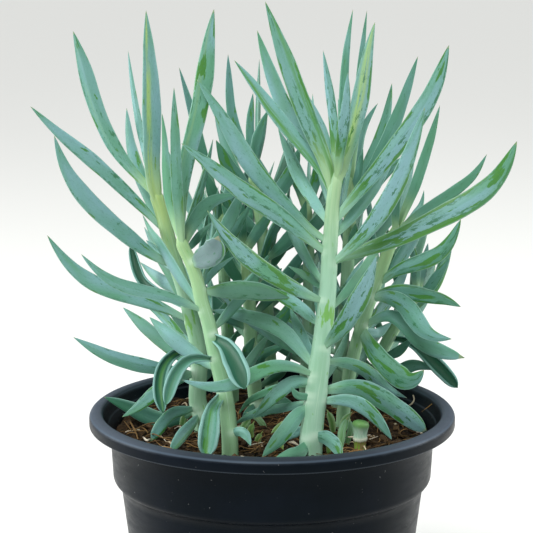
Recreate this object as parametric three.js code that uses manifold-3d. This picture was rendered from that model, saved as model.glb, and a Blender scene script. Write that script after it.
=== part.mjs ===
// Potted big blue chalk sticks: a leafy succulent in a black nursery pot, in millimetres, +Z up
// The origin is the middle of the pot's base, and the photograph looks along +Y, a little downwards
import * as THREE from "three";
import { mergeVertices } from "three/addons/utils/BufferGeometryUtils.js";
import Module from "manifold-3d";

const wasm = await Module();
wasm.setup();

// Pot
const POT_HEIGHT = 175;
const RIM_RADIUS = 102.5;
const RIM_INNER_RADIUS = 95.2;
const RIM_UNDERSIDE = 167;
const COLLAR_RADIUS = 91;
const COLLAR_BOTTOM = 134;
const COLLAR_STEP = 4.5;
const COLLAR_TOP_INSIDE = 163;
const BODY_RADIUS_AT_BASE = 68.5;
const BODY_TAPER = 0.125;
const WALL = 2.4;
const FLOOR_THICKNESS = 3;
const POT_SIDES = 48;
const DRAIN_HOLES = 6;
const DRAIN_HOLE_RADIUS = 5;
const DRAIN_CIRCLE_RADIUS = 48;
const DRAIN_SIDES = 10;

// Soil
const SOIL_TOP = 162.5;
const SOIL_RELIEF = 2.2;
const SOIL_SIDES = 36;
const SOIL_RING_RADII = [78, 67, 55, 43, 31, 19, 8];
const SOIL_SHOULDER = 157;
const GAP = 0.35;
const STEM_HOLE_BOTTOM = 128;
const STEM_HOLE_CLEARANCE = 0.6;
const STRAIGHT_UP_TO = 171;
const SLOPE_FROM = 84;

// Stems and leaves
const STEM_SIDES = 8;
const STEM_TOP_SHARE = 0.4;
const LEAF_SAMPLES = 17;
const LEAF_RINGS = { seen: [0, 0.2, 0.44, 0.68, 0.87], hidden: [0, 0.28, 0.6, 0.85] };
const LEAF_THICKNESS = 0.34;
const LEAF_FRONT_SHARE = 0.38;
const CHANNEL_DEPTH = 0.1;
const CHANNEL_KEEL = 0.4;
const FACING_VIEWER = 0.72;
const CHANNEL_FACING_VIEWER = 0.88;
const GOLDEN_SHARE = 0.618;
const FAN_ANGLE = 2.1;
const FAN_STEPS = 8;
const FAN_LEAF_WIDTH = [8.2, 10.2];

// Leaf outlines: width at the root, share of the length where a leaf is widest, how full it stays beyond
// that place, and how blunt its tip is
const POINTED = { root: 0.42, widest: 0.55, fullness: 1.8, bluntness: 0.9 };
const SHEATHING = { root: 0.68, widest: 0.5, fullness: 1.8, bluntness: 0.9 };
const SPEARED = { root: 0.5, widest: 0.68, fullness: 1.7, bluntness: 0.85 };
const ENDED = { root: 0.42, widest: 0.62, fullness: 3.2, bluntness: 0.55 };
const SPOONED = { root: 0.5, widest: 0.7, fullness: 2.6, bluntness: 0.5 };

// Viewpoint of the photograph: distance in mm, pitch, focal length and picture middle in pixels
const EYE_DISTANCE = 1100;
const EYE_PITCH = THREE.MathUtils.degToRad(11.1);
const FOCAL_PIXELS = 1985;
const PICTURE_MIDDLE = 266.5;
const AIM = new THREE.Vector3(-3.14, 0, 255.84);
const SIGHT = new THREE.Vector3(0, Math.cos(EYE_PITCH), -Math.sin(EYE_PITCH));
const SIGHT_UP = new THREE.Vector3(0, Math.sin(EYE_PITCH), Math.cos(EYE_PITCH));
const EYE = AIM.clone().addScaledVector(SIGHT, -EYE_DISTANCE);

// Settling of the leaves among each other
const SETTLE_ROUNDS = 140;
const SEEN_WIDTH_SHARE = 0.4;
const HIDDEN_WIDTH_SHARE = 0.54;
const SETTLE_SPARE = 1;

const material = (color, roughness) => new THREE.MeshStandardMaterial({ color, roughness, metalness: 0 });
const POT_PLASTIC = material(0x23262b, 0.42);
const SOIL_MIX = material(0x5a4030, 0.95);
const LEAF_GREEN = material(0x86b3ac, 0.62);
const OLD_WOOD = material(0x9a8b63, 0.8);

// The point at depth y that shows at a place in the picture
function picturePoint([across, down], y) {
  const ray = SIGHT.clone();
  ray.x += (across - PICTURE_MIDDLE) / FOCAL_PIXELS;
  ray.addScaledVector(SIGHT_UP, (PICTURE_MIDDLE - down) / FOCAL_PIXELS);
  return EYE.clone().addScaledVector(ray, (y - EYE.y) / ray.y);
}

// Millimetres that one pixel covers at depth y
const pixelSize = (y) => (y - EYE.y) / SIGHT.y / FOCAL_PIXELS;

// A seeded draw from 0 to 1
const draw = (seed) => {
  const big = Math.sin(seed * 12.9898) * 43758.5453;
  return big - Math.floor(big);
};

// Leaves: the picture row where one leaves its stem, its width in pixels, how far its tip leans
// towards the viewer in mm, and the picture points on its way from the stem to its tip
// A leaf narrows from its middle, a rising one starts broad at a stem's top, a spear is broadest well
// beyond its middle, a blunt leaf stays broad and ends quickly, and a channelled one has a round end and a
// hollow near face
const leaf = (row, wide, lean, ...way) => ({ row, wide, lean, way, outline: POINTED });
const rising = (row, wide, lean, ...way) => ({ row, wide, lean, way, outline: SHEATHING });
const spear = (row, wide, lean, ...way) => ({ row, wide, lean, way, outline: SPEARED });
const blunt = (row, wide, lean, ...way) => ({ row, wide, lean, way, outline: ENDED });
const channelled = (row, wide, lean, ...way) => ({ row, wide, lean, way, outline: SPOONED });

// Stems: picture points from the soil up, depth y in mm and width in pixels at the base and the top,
// and the leaves of the hidden side: how many, between which picture rows, and how long in mm
const STEMS = {
  tall_stem: {
    way: [[311, 440], [314, 410], [318, 380], [321, 350], [325, 320], [328, 290], [329, 260], [331, 230],
      [333, 200], [336, 180], [338, 164]],
    depth: [-50, -28],
    wide: [23, 12],
    hidden: { count: 9, rows: [400, 180], length: [62, 84] },
    leaves: [
      leaf(255, 19, 22, [270, 208], [250, 197], [230, 182], [210, 165], [190, 150], [181, 143]),
      leaf(243, 18, 4, [310, 232], [290, 210], [270, 190], [250, 165], [232, 135], [215, 105], [197, 80]),
      leaf(200, 14, -14, [325, 175], [310, 155], [295, 138], [275, 113], [258, 90], [245, 73], [234, 60]),
      rising(184, 19, 3, [322, 150], [312, 130], [300, 100], [288, 65], [277, 35], [265, 1]),
      rising(188, 17, -30, [312, 150], [293, 125], [283, 105], [275, 85], [266, 60], [257, 30]),
      rising(182, 12, -34, [325, 140], [314, 112], [303, 88]),
      rising(176, 10, -18, [334, 125], [331, 100], [327, 75], [323, 50]),
      rising(174, 12, 34, [343, 130], [346, 110], [347, 90], [348, 72]),
      rising(180, 17, 12, [346, 150], [355, 125], [361, 98], [366, 65], [370, 40], [375, 22]),
      spear(225, 19, -8, [370, 178], [390, 155], [405, 135], [422, 112], [435, 90], [443, 65], [449, 45]),
      leaf(267, 18, 28, [365, 235], [380, 215], [395, 190], [408, 160], [418, 130], [425, 107]),
      spear(262, 22, 2, [380, 245], [400, 238], [425, 225], [450, 212], [475, 200], [495, 185],
        [508, 165], [517, 141]),
      leaf(350, 20, 50, [340, 330], [350, 315], [362, 295], [370, 275], [377, 255]),
      leaf(315, 10, -30, [348, 287], [357, 270], [364, 258]),
      leaf(362, 14, -26, [340, 361], [353, 364], [367, 370], [378, 382], [390, 391], [407, 398]),
      blunt(392, 21, -16, [340, 388], [355, 385], [374, 394], [392, 407], [407, 418], [425, 434]),
      leaf(402, 15, 2, [343, 399], [357, 402], [371, 412], [383, 426], [392, 440]),
      leaf(436, 16, 24, [328, 438], [337, 446], [342, 462]),
      leaf(328, 14, -28, [300, 307], [280, 295], [258, 286]),
      leaf(303, 18, 38, [300, 292], [280, 280], [260, 268], [240, 252], [222, 232], [207, 210]),
      leaf(290, 10, -50, [305, 275], [288, 266]),
      leaf(378, 15, 30, [300, 368], [285, 364], [270, 366], [255, 373], [240, 382], [225, 388],
        [205, 388], [181, 380]),
      leaf(372, 17, -18, [300, 350], [290, 335], [275, 325], [255, 318], [235, 314], [212, 310]),
      leaf(365, 15, -44, [304, 345], [298, 328], [290, 308]),
      leaf(384, 15, 8, [297, 379], [286, 386], [273, 397], [262, 409], [253, 418]),
      leaf(405, 17, 18, [299, 412], [289, 427], [277, 441], [262, 457]),
      leaf(400, 10, -8, [285, 408], [265, 410], [250, 415], [233, 425]),
      leaf(386, 9, -30, [285, 385], [260, 395], [248, 400], [238, 415]),
      leaf(446, 14, 22, [300, 453], [288, 455], [276, 457]),
      leaf(228, 14, -44, [300, 180], [278, 128]),
      leaf(398, 8, 10, [297, 396], [291, 387]),
      leaf(424, 9, -14, [300, 434], [289, 446], [284, 455]),
    ],
  },
  front_left_stem: {
    way: [[230, 436], [228, 415], [226, 400], [220, 372], [214, 350], [208, 320], [201, 300], [197, 280],
      [190, 260], [184, 250], [180, 238], [179, 229]],
    depth: [-55, -46],
    wide: [17, 12],
    hidden: { count: 8, rows: [400, 245], length: [52, 74] },
    leaves: [
      rising(238, 9, -20, [173, 216], [168, 200], [166, 170], [165, 140], [162, 113]),
      rising(244, 12, 12, [181, 226], [177, 190], [176, 160], [175, 130], [174, 100], [174, 87]),
      spear(240, 18, -12, [182, 215], [182, 185], [186, 160], [193, 135], [199, 115], [203, 90],
        [207, 60], [210, 30], [214, 9]),
      rising(242, 15, -34, [190, 228], [200, 212], [212, 200], [240, 194]),
      leaf(252, 10, -46, [203, 232], [213, 222]),
      blunt(264, 25, 30, [200, 259], [209, 256], [216, 249], [218, 239]),
      leaf(312, 13, 34, [185, 303], [165, 295], [140, 291], [115, 284], [95, 270], [81, 254]),
      leaf(292, 20, -8, [230, 290], [250, 290], [290, 298]),
      leaf(290, 8, -44, [212, 273], [225, 262], [235, 256]),
      channelled(360, 14, 30, [199, 357], [187, 359], [177, 370], [170, 386], [166, 404]),
      channelled(336, 24, 42, [226, 345], [233, 357], [239, 370], [245, 388]),
      leaf(434, 11, 16, [240, 431], [247, 435], [251, 446]),
      channelled(392, 22, 24, [212, 408], [209, 430], [206, 456]),
    ],
  },
  left_stem: {
    way: [[203, 423], [200, 412], [197, 400], [198, 385], [200, 360], [197, 340], [192, 320], [187, 300],
      [181, 280], [175, 262], [169, 240], [162, 213], [155, 192], [152, 181]],
    depth: [-6, -12],
    wide: [18, 13],
    hidden: { count: 10, rows: [395, 232], length: [58, 80] },
    leaves: [
      spear(198, 16, -16, [149, 187], [137, 176], [122, 160], [107, 135], [93, 100], [84, 65], [73, 31]),
      leaf(235, 14, 8, [145, 210], [120, 186], [90, 158], [60, 135], [30, 106]),
      leaf(268, 18, 26, [150, 255], [130, 238], [105, 218], [80, 193], [62, 165], [54, 135]),
      rising(200, 8, -38, [150, 178], [146, 155], [139, 125], [133, 90], [129, 60], [128, 50]),
      rising(204, 19, 12, [155, 190], [152, 170], [152, 150], [152, 120], [151, 80], [148, 40], [146, 10]),
      leaf(275, 10, -24, [158, 252], [146, 240]),
      leaf(322, 16, 10, [160, 306], [140, 299], [115, 293], [95, 285], [75, 272], [60, 255], [47, 235]),
      leaf(350, 10, -34, [180, 335], [165, 318], [150, 305], [135, 297]),
      channelled(310, 12, -46, [142, 283], [137, 270], [133, 255], [131, 245]),
      leaf(295, 13, -56, [165, 283], [150, 272], [140, 262]),
      leaf(375, 15, 26, [155, 368], [135, 364], [110, 357], [90, 347], [73, 337]),
      channelled(350, 15, 34, [178, 351], [166, 360], [160, 374], [159, 396], [163, 412]),
      leaf(371, 14, 22, [165, 385], [150, 397], [135, 410], [122, 417]),
      leaf(406, 18, -14, [175, 421], [160, 421], [145, 415], [125, 405], [104, 397]),
      blunt(408, 13, 24, [184, 412], [172, 416], [163, 428], [157, 440], [152, 450]),
      blunt(414, 13, 46, [190, 428], [182, 438], [175, 449], [171, 456]),
    ],
  },
  centre_stem: {
    way: [[257, 412], [255, 395], [253, 370], [251, 345], [250, 320], [249, 290], [247, 265], [244, 244]],
    depth: [26, 22],
    wide: [15, 12],
    hidden: { count: 11, rows: [395, 266], length: [56, 78] },
    leaves: [
      rising(250, 12, 18, [260, 228], [270, 215], [275, 206]),
      rising(248, 11, -6, [236, 230], [222, 205]),
      rising(246, 10, 6, [242, 230], [243, 203]),
      rising(249, 9, -20, [248, 225], [252, 203]),
      leaf(372, 12, 28, [246, 352], [255, 337]),
      leaf(385, 9, 22, [262, 354], [292, 342]),
      leaf(330, 14, 6, [228, 318], [206, 296], [196, 274]),
      leaf(345, 14, 10, [272, 330], [288, 312], [296, 292]),
      leaf(300, 13, 14, [266, 286], [282, 268]),
      leaf(290, 13, 4, [232, 272], [222, 250], [218, 232]),
      leaf(404, 12, 20, [250, 418], [246, 426], [243, 434]),
      leaf(408, 10, 14, [262, 424], [262, 440]),
    ],
  },
  upper_centre_stem: {
    way: [[272, 407], [271, 390], [269, 350], [267, 310], [265, 270], [262, 230], [257, 195], [251, 166]],
    depth: [50, 38],
    wide: [14, 11],
    hidden: { count: 11, rows: [370, 185], length: [60, 84] },
    leaves: [
      rising(175, 10, -8, [245, 150], [234, 125], [230, 105], [229, 80], [228, 54]),
      rising(168, 9, 4, [250, 145], [250, 120], [253, 93]),
      rising(171, 12, 14, [257, 142], [262, 125], [268, 110]),
      leaf(205, 15, 10, [244, 186], [228, 166], [216, 140]),
      leaf(215, 15, 12, [276, 196], [292, 172], [300, 146]),
      leaf(240, 14, 20, [250, 226], [232, 212], [220, 190]),
      leaf(262, 14, 16, [282, 246], [300, 226], [306, 200]),
      leaf(400, 10, 10, [280, 402], [294, 408]),
    ],
  },
  shaded_stem: {
    way: [[338, 407], [339, 395], [341, 360], [344, 320], [347, 280], [349, 240], [350, 205], [350, 176]],
    depth: [48, 16],
    wide: [14, 12],
    hidden: { count: 11, rows: [380, 195], length: [58, 82] },
    leaves: [
      rising(182, 10, 4, [345, 140], [343, 100], [346, 50], [353, 9]),
      rising(184, 9, -20, [356, 130], [361, 60], [367, 10]),
      rising(190, 10, -36, [362, 130], [370, 115], [378, 103]),
      leaf(212, 13, 6, [368, 175], [380, 155], [392, 130], [402, 105], [410, 80], [418, 56]),
      leaf(203, 12, -18, [370, 158], [382, 135], [388, 110], [392, 83]),
      rising(196, 8, 8, [358, 176], [363, 148]),
      leaf(225, 12, 16, [362, 200], [378, 180], [395, 165], [405, 155]),
      rising(180, 9, -28, [344, 140], [338, 98]),
      leaf(262, 13, 14, [354, 240], [356, 223]),
      leaf(310, 13, 22, [366, 292], [382, 270]),
    ],
  },
  right_stem: {
    way: [[343, 427], [345, 400], [350, 370], [356, 345], [362, 325], [368, 305], [376, 283], [386, 257],
      [392, 240], [398, 220]],
    depth: [4, 16],
    wide: [14, 12],
    hidden: { count: 9, rows: [400, 245], length: [54, 76] },
    leaves: [
      rising(226, 11, -12, [414, 190], [424, 160], [432, 135], [440, 105]),
      rising(236, 12, 14, [420, 214], [448, 196], [475, 176], [487, 154]),
      rising(240, 9, -34, [410, 222], [422, 205], [424, 190]),
      leaf(285, 16, 12, [400, 268], [420, 263], [440, 255], [452, 240], [461, 219]),
      leaf(300, 16, 18, [385, 291], [405, 291], [425, 296], [445, 299], [461, 307]),
      blunt(328, 16, 14, [380, 316], [392, 313], [402, 320], [412, 335], [425, 345], [440, 352],
        [461, 357]),
      spear(326, 22, 40, [366, 340], [377, 356], [389, 369], [401, 379], [413, 384], [424, 370]),
      rising(230, 9, 10, [396, 196], [402, 176]),
      leaf(330, 10, -20, [378, 334], [392, 322]),
      leaf(298, 20, 46, [385, 296], [402, 301], [413, 315], [421, 328], [432, 338], [452, 339]),
    ],
  },
  far_right_stem: {
    way: [[368, 411], [370, 400], [376, 370], [385, 345], [395, 328], [408, 306], [420, 287]],
    depth: [38, 44],
    wide: [13, 11],
    hidden: { count: 9, rows: [385, 300], length: [54, 74] },
    leaves: [
      rising(292, 10, 6, [415, 262], [411, 240]),
      rising(290, 10, -12, [424, 265], [428, 243]),
      rising(295, 11, -26, [432, 270], [433, 250]),
      rising(302, 11, 12, [428, 290], [440, 272], [450, 258]),
      channelled(338, 16, 18, [408, 340], [420, 348], [433, 361], [446, 374], [457, 387]),
      leaf(372, 13, 8, [392, 378], [403, 368], [418, 364], [434, 370]),
      leaf(360, 10, 22, [398, 352], [413, 338]),
    ],
  },
  back_left_stem: {
    way: [[232, 403], [231, 390], [229, 350], [226, 310], [224, 270], [222, 235], [220, 205]],
    depth: [60, 52],
    wide: [14, 11],
    hidden: { count: 13, rows: [385, 215], length: [60, 84] },
    leaves: [
      rising(212, 10, 10, [207, 170], [191, 108], [179, 67]),
      leaf(225, 13, 14, [214, 196], [204, 170]),
      rising(218, 13, -10, [232, 186], [236, 156]),
    ],
  },
  back_right_stem: {
    way: [[306, 401], [307, 385], [308, 345], [309, 305], [309, 265], [308, 230], [306, 198]],
    depth: [64, 58],
    wide: [14, 11],
    hidden: { count: 13, rows: [385, 210], length: [60, 84] },
    leaves: [
      rising(206, 12, 8, [296, 176], [290, 150]),
      rising(208, 12, -8, [318, 172], [322, 140]),
    ],
  },
};

// The short cut end of an old stem: picture place of its foot, depth, height and radius
const OLD_STUB = { foot: [360, 448], depth: -42, height: 17, radius: 4.6 };

// One round of neighbour averages along a row of points whose ends stay
function smoothed(points) {
  return points.map((p, i) => {
    if (i === 0 || i === points.length - 1) return p.clone();
    return p.clone().multiplyScalar(2).add(points[i - 1]).add(points[i + 1]).multiplyScalar(0.25);
  });
}

// A row of points at equal steps along a path, rounded at its corners
function evenPath(points, count, rounds) {
  const lengths = [0];
  for (let i = 1; i < points.length; i += 1) {
    lengths.push(lengths[i - 1] + points[i].distanceTo(points[i - 1]));
  }
  const whole = lengths[points.length - 1];
  let row = [];
  for (let k = 0; k < count; k += 1) {
    const along = (whole * k) / (count - 1);
    let i = 1;
    while (i < points.length - 1 && lengths[i] < along) i += 1;
    const share = (along - lengths[i - 1]) / (lengths[i] - lengths[i - 1]);
    row.push(points[i - 1].clone().lerp(points[i], share));
  }
  for (let round = 0; round < rounds; round += 1) row = smoothed(row);
  return row;
}

// A stem's axis above the soil, with the picture row and the radius of each of its points
function stemLine(stem) {
  const bottomRow = stem.way[0][1];
  const topRow = stem.way[stem.way.length - 1][1];
  return stem.way.map((place) => {
    const share = (bottomRow - place[1]) / (bottomRow - topRow);
    const y = THREE.MathUtils.lerp(stem.depth[0], stem.depth[1], share);
    const radius = 0.5 * THREE.MathUtils.lerp(stem.wide[0], stem.wide[1], share) * pixelSize(y);
    return { point: picturePoint(place, y), row: place[1], radius };
  });
}

// The axis point and direction of a stem at a picture row
function stemAt(line, row) {
  let i = 1;
  while (i < line.length - 1 && line[i].row > row) i += 1;
  const share = THREE.MathUtils.clamp((line[i - 1].row - row) / (line[i - 1].row - line[i].row), 0, 1);
  const point = line[i - 1].point.clone().lerp(line[i].point, share);
  const direction = line[i].point.clone().sub(line[i - 1].point).normalize();
  return { point, direction };
}

// A leaf's half width at a share of its length, for a width of 1: narrow at the root, full to past the
// middle, and then closing to the tip
function halfWidth(share, { root, widest, fullness, bluntness }) {
  const opening = root + (1 - root) * Math.sin((Math.min(share / widest, 1) * Math.PI) / 2);
  const beyond = Math.max((share - widest) / (1 - widest), 0);
  return 0.5 * opening * Math.pow(1 - Math.pow(beyond, fullness), bluntness);
}

// A leaf that shows in the photograph, as sampled axis, width in mm and the way its flat side faces
function seenLeaf(stemName, line, entry) {
  const root = stemAt(line, entry.row).point;
  const steps = [];
  let last = null;
  let walked = 0;
  for (const place of entry.way) {
    const flat = picturePoint(place, root.y);
    walked += flat.distanceTo(last ?? root);
    steps.push(walked);
    last = flat;
  }
  const points = entry.way.map((place, i) => {
    const out = 1 - Math.pow(1 - steps[i] / walked, 1.5);
    return picturePoint(place, root.y - entry.lean * out);
  });
  const axis = evenPath([root, ...points], LEAF_SAMPLES, 3);
  const heading = axis[LEAF_SAMPLES - 1].clone().sub(root).setZ(0);
  const side = heading.cross(new THREE.Vector3(0, 0, 1)).normalize();
  if (side.dot(SIGHT) > 0) side.negate();
  const turn = entry.outline === SPOONED ? CHANNEL_FACING_VIEWER : FACING_VIEWER;
  const face = side.multiplyScalar(1 - turn).addScaledVector(SIGHT, -turn).normalize();
  const wide = entry.wide * pixelSize(root.y);
  return { stem: stemName, axis, wide, face, seen: true, outline: entry.outline };
}

// The leaves of the side that the photograph does not show: they turn by the golden share from leaf
// to leaf within a fan that points away from the viewer, and rise more steeply further up the stem
function hiddenLeaves(stemName, line, stem, seedStart) {
  const { count, rows, length } = stem.hidden;
  const made = [];
  for (let i = 0; i < count; i += 1) {
    const seed = seedStart + i;
    const up = (i + 0.5) / count;
    const row = THREE.MathUtils.lerp(rows[0], rows[1], up);
    const turn = ((i * GOLDEN_SHARE + 0.3) % 1) - 0.5;
    const heading = Math.PI / 2 + turn * FAN_ANGLE;
    const out = new THREE.Vector3(Math.cos(heading), Math.sin(heading), 0);
    const reach = THREE.MathUtils.lerp(length[0], length[1], draw(seed));
    const lowTilt = THREE.MathUtils.lerp(0.1, 0.75, up) + 0.2 * draw(seed + 0.5);
    const highTilt = THREE.MathUtils.lerp(0.35, 1.35, up);
    const root = stemAt(line, row).point;
    const points = [root];
    for (let k = 1; k <= FAN_STEPS; k += 1) {
      const tilt = THREE.MathUtils.lerp(lowTilt, highTilt, k / FAN_STEPS);
      const step = out.clone().multiplyScalar(Math.cos(tilt)).setZ(Math.sin(tilt));
      points.push(points[k - 1].clone().addScaledVector(step, reach / FAN_STEPS));
    }
    const face = out.clone().cross(new THREE.Vector3(0, 0, 1)).normalize();
    const wide = THREE.MathUtils.lerp(FAN_LEAF_WIDTH[0], FAN_LEAF_WIDTH[1], draw(seed + 0.7));
    const axis = evenPath(points, LEAF_SAMPLES, 1);
    made.push({ stem: stemName, axis, wide, face, seen: false, outline: POINTED });
  }
  return made;
}

// Height that a leaf has to stay above: the soil, the pot's inner wall and its rim
function ground(x, y) {
  const out = Math.hypot(x, y);
  const soil = SOIL_TOP + SOIL_RELIEF;
  if (out < SLOPE_FROM) return soil;
  if (out < RIM_INNER_RADIUS) {
    return THREE.MathUtils.mapLinear(out, SLOPE_FROM, RIM_INNER_RADIUS, soil, POT_HEIGHT);
  }
  if (out < RIM_RADIUS + 2) return POT_HEIGHT;
  return 0;
}

// Leaves push each other aside until they lie clear. One that shows in the photograph moves along the
// line of sight only, so that it keeps its place in the picture; the others move whichever way is short
function settle(leaves, lines) {
  const home = leaves.map((one) => one.axis.map((p) => p.clone()));
  const share = Array.from({ length: LEAF_SAMPLES }, (_, k) => k / (LEAF_SAMPLES - 1));
  const firm = share.map((t) => Math.min(t / 0.25, 1));
  const radius = leaves.map((one) => {
    const part = one.seen ? SEEN_WIDTH_SHARE : HIDDEN_WIDTH_SHARE;
    return share.map((t) => 2 * part * one.wide * halfWidth(t, one.outline) + SETTLE_SPARE);
  });
  const order = new Map();
  for (let round = 0; round < SETTLE_ROUNDS; round += 1) {
    const push = leaves.map(() => share.map(() => new THREE.Vector3()));
    const boxes = leaves.map((one) => new THREE.Box3().setFromPoints(one.axis).expandByScalar(5));
    for (let a = 0; a < leaves.length; a += 1) {
      for (let b = a + 1; b < leaves.length; b += 1) {
        if (boxes[a].intersectsBox(boxes[b])) pushApart(leaves, a, b, radius, firm, push, order);
      }
      pushOffStems(leaves[a], lines, radius[a], firm, push[a]);
    }
    leaves.forEach((one, a) => {
      let moved = one.axis.map((p, k) => p.clone().add(push[a][k]).sub(home[a][k]));
      moved[0].set(0, 0, 0);
      moved = smoothed(moved);
      moved[LEAF_SAMPLES - 1].copy(moved[LEAF_SAMPLES - 2]).multiplyScalar(2).sub(moved[LEAF_SAMPLES - 3]);
      one.axis = moved.map((d, k) => {
        const p = home[a][k].clone().add(d);
        const low = ground(p.x, p.y) + 0.6 * radius[a][k];
        if (k > 2 && p.z < low) p.z += 0.5 * (low - p.z);
        return p;
      });
    });
  }
}

// One pair of leaves: every two samples that are too near each other push
function pushApart(leaves, a, b, radius, firm, push, order) {
  const near = [];
  let lead = 0;
  const sameStem = leaves[a].stem === leaves[b].stem;
  for (let i = 1; i < LEAF_SAMPLES; i += 1) {
    for (let j = 1; j < LEAF_SAMPLES; j += 1) {
      if (sameStem && (i < 6 || j < 6)) continue;
      const apart = leaves[a].axis[i].clone().sub(leaves[b].axis[j]);
      const reach = radius[a][i] + radius[b][j];
      if (apart.lengthSq() < reach * reach) {
        near.push({ i, j, apart, reach });
        lead += apart.dot(SIGHT);
      }
    }
  }
  if (near.length === 0) return;
  const key = a * leaves.length + b;
  if (!order.has(key)) order.set(key, lead >= 0 ? 1 : -1);
  for (const { i, j, apart, reach } of near) {
    const weight = firm[i] + firm[j];
    if (leaves[a].seen && leaves[b].seen) {
      const along = apart.dot(SIGHT);
      const across = apart.lengthSq() - along * along;
      const missing = Math.sqrt(reach * reach - across) - order.get(key) * along;
      push[a][i].addScaledVector(SIGHT, (0.5 * order.get(key) * missing * firm[i]) / weight);
      push[b][j].addScaledVector(SIGHT, (-0.5 * order.get(key) * missing * firm[j]) / weight);
    } else {
      const distance = Math.max(apart.length(), 0.01);
      const missing = reach - distance;
      const shareA = leaves[a].seen ? 0 : firm[i] / (leaves[b].seen ? firm[i] + 0.01 : weight);
      const shareB = leaves[b].seen ? 0 : firm[j] / (leaves[a].seen ? firm[j] + 0.01 : weight);
      push[a][i].addScaledVector(apart, (0.6 * missing * shareA) / distance);
      push[b][j].addScaledVector(apart, (-0.6 * missing * shareB) / distance);
    }
  }
}

// A leaf keeps off the other stems
function pushOffStems(one, lines, radius, firm, push) {
  for (const [name, line] of Object.entries(lines)) {
    if (name === one.stem) continue;
    for (let k = 1; k < LEAF_SAMPLES; k += 1) {
      for (let s = 1; s < line.length; s += 1) {
        const segment = new THREE.Line3(line[s - 1].point, line[s].point);
        const nearest = segment.closestPointToPoint(one.axis[k], true, new THREE.Vector3());
        const apart = one.axis[k].clone().sub(nearest);
        const reach = radius[k] + line[s].radius;
        if (apart.lengthSq() >= reach * reach) continue;
        if (one.seen) {
          const along = apart.dot(SIGHT);
          const across = apart.lengthSq() - along * along;
          const way = along >= 0 ? 1 : -1;
          const missing = Math.sqrt(reach * reach - across) - way * along;
          push[k].addScaledVector(SIGHT, 0.6 * way * firm[k] * missing);
        } else {
          const distance = Math.max(apart.length(), 0.01);
          push[k].addScaledVector(apart, (0.6 * firm[k] * (reach - distance)) / distance);
        }
      }
    }
  }
}

// A closed skin over rings of points, drawn together to a point at both ends
function skin(rings, start, end) {
  const sides = rings[0].length;
  const positions = [start, ...rings.flat(), end].flatMap((p) => [p.x, p.y, p.z]);
  const index = [];
  const at = (ring, side) => 1 + ring * sides + (side % sides);
  const last = 1 + rings.length * sides;
  for (let side = 0; side < sides; side += 1) {
    index.push(0, at(0, side + 1), at(0, side));
    index.push(last, at(rings.length - 1, side), at(rings.length - 1, side + 1));
    for (let ring = 1; ring < rings.length; ring += 1) {
      index.push(at(ring - 1, side), at(ring - 1, side + 1), at(ring, side));
      index.push(at(ring - 1, side + 1), at(ring, side + 1), at(ring, side));
    }
  }
  const geometry = new THREE.BufferGeometry();
  geometry.setAttribute("position", new THREE.Float32BufferAttribute(positions, 3));
  geometry.setIndex(index);
  return geometry;
}

// A leaf's blade: four-sided rings, broad across the face, keeled behind and hollowed if channelled
function bladeGeometry(one) {
  const curve = (share) => {
    const place = share * (LEAF_SAMPLES - 1);
    const k = Math.min(Math.floor(place), LEAF_SAMPLES - 2);
    return one.axis[k].clone().lerp(one.axis[k + 1], place - k);
  };
  const rings = LEAF_RINGS[one.seen ? "seen" : "hidden"].map((share) => {
    const middle = curve(share);
    const ahead = curve(Math.min(share + 0.06, 1)).sub(curve(Math.max(share - 0.06, 0))).normalize();
    const across = ahead.clone().cross(one.face).normalize();
    const out = across.clone().cross(ahead);
    const half = one.wide * halfWidth(share, one.outline);
    const hollow = one.outline === SPOONED;
    const front = 2 * half * (hollow ? -CHANNEL_DEPTH : LEAF_FRONT_SHARE * LEAF_THICKNESS);
    const back = -2 * half * (hollow ? CHANNEL_KEEL : (1 - LEAF_FRONT_SHARE) * LEAF_THICKNESS);
    return [
      middle.clone().addScaledVector(across, half),
      middle.clone().addScaledVector(out, back),
      middle.clone().addScaledVector(across, -half),
      middle.clone().addScaledVector(out, front),
    ];
  });
  return skin(rings, one.axis[0], one.axis[LEAF_SAMPLES - 1]);
}

// A stem: straight in its hole, then along its line, round and a little thinner towards the top
function stemGeometry(line) {
  const foot = line[0].point.clone().setZ(STEM_HOLE_BOTTOM + GAP);
  const collar = line[0].point.clone().setZ(STRAIGHT_UP_TO);
  const stations = [{ point: foot, radius: line[0].radius }, { point: collar, radius: line[0].radius }];
  const above = line.filter((one) => one.point.z > STRAIGHT_UP_TO + 4);
  const kept = above.filter((one, i) => i % 2 === 0 || i === above.length - 1);
  stations.push(...kept.map((one) => ({ ...one })));
  stations[stations.length - 1].radius *= STEM_TOP_SHARE;
  const rings = stations.map(({ point, radius }, i) => {
    const before = stations[Math.max(i - 1, 0)].point;
    const after = stations[Math.min(i + 1, stations.length - 1)].point;
    const up = i < 2 ? new THREE.Vector3(0, 0, 1) : after.clone().sub(before).normalize();
    const right = new THREE.Vector3(0, 1, 0).cross(up).normalize();
    const away = up.clone().cross(right);
    return Array.from({ length: STEM_SIDES }, (_, side) => {
      const angle = ((side + 0.5) / STEM_SIDES) * 2 * Math.PI;
      return point.clone()
        .addScaledVector(right, radius * Math.cos(angle))
        .addScaledVector(away, radius * Math.sin(angle));
    });
  });
  const top = stations[stations.length - 1];
  const lift = top.point.clone().sub(stations[stations.length - 2].point).setLength(top.radius);
  return skin(rings, foot, top.point.clone().add(lift));
}

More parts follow.
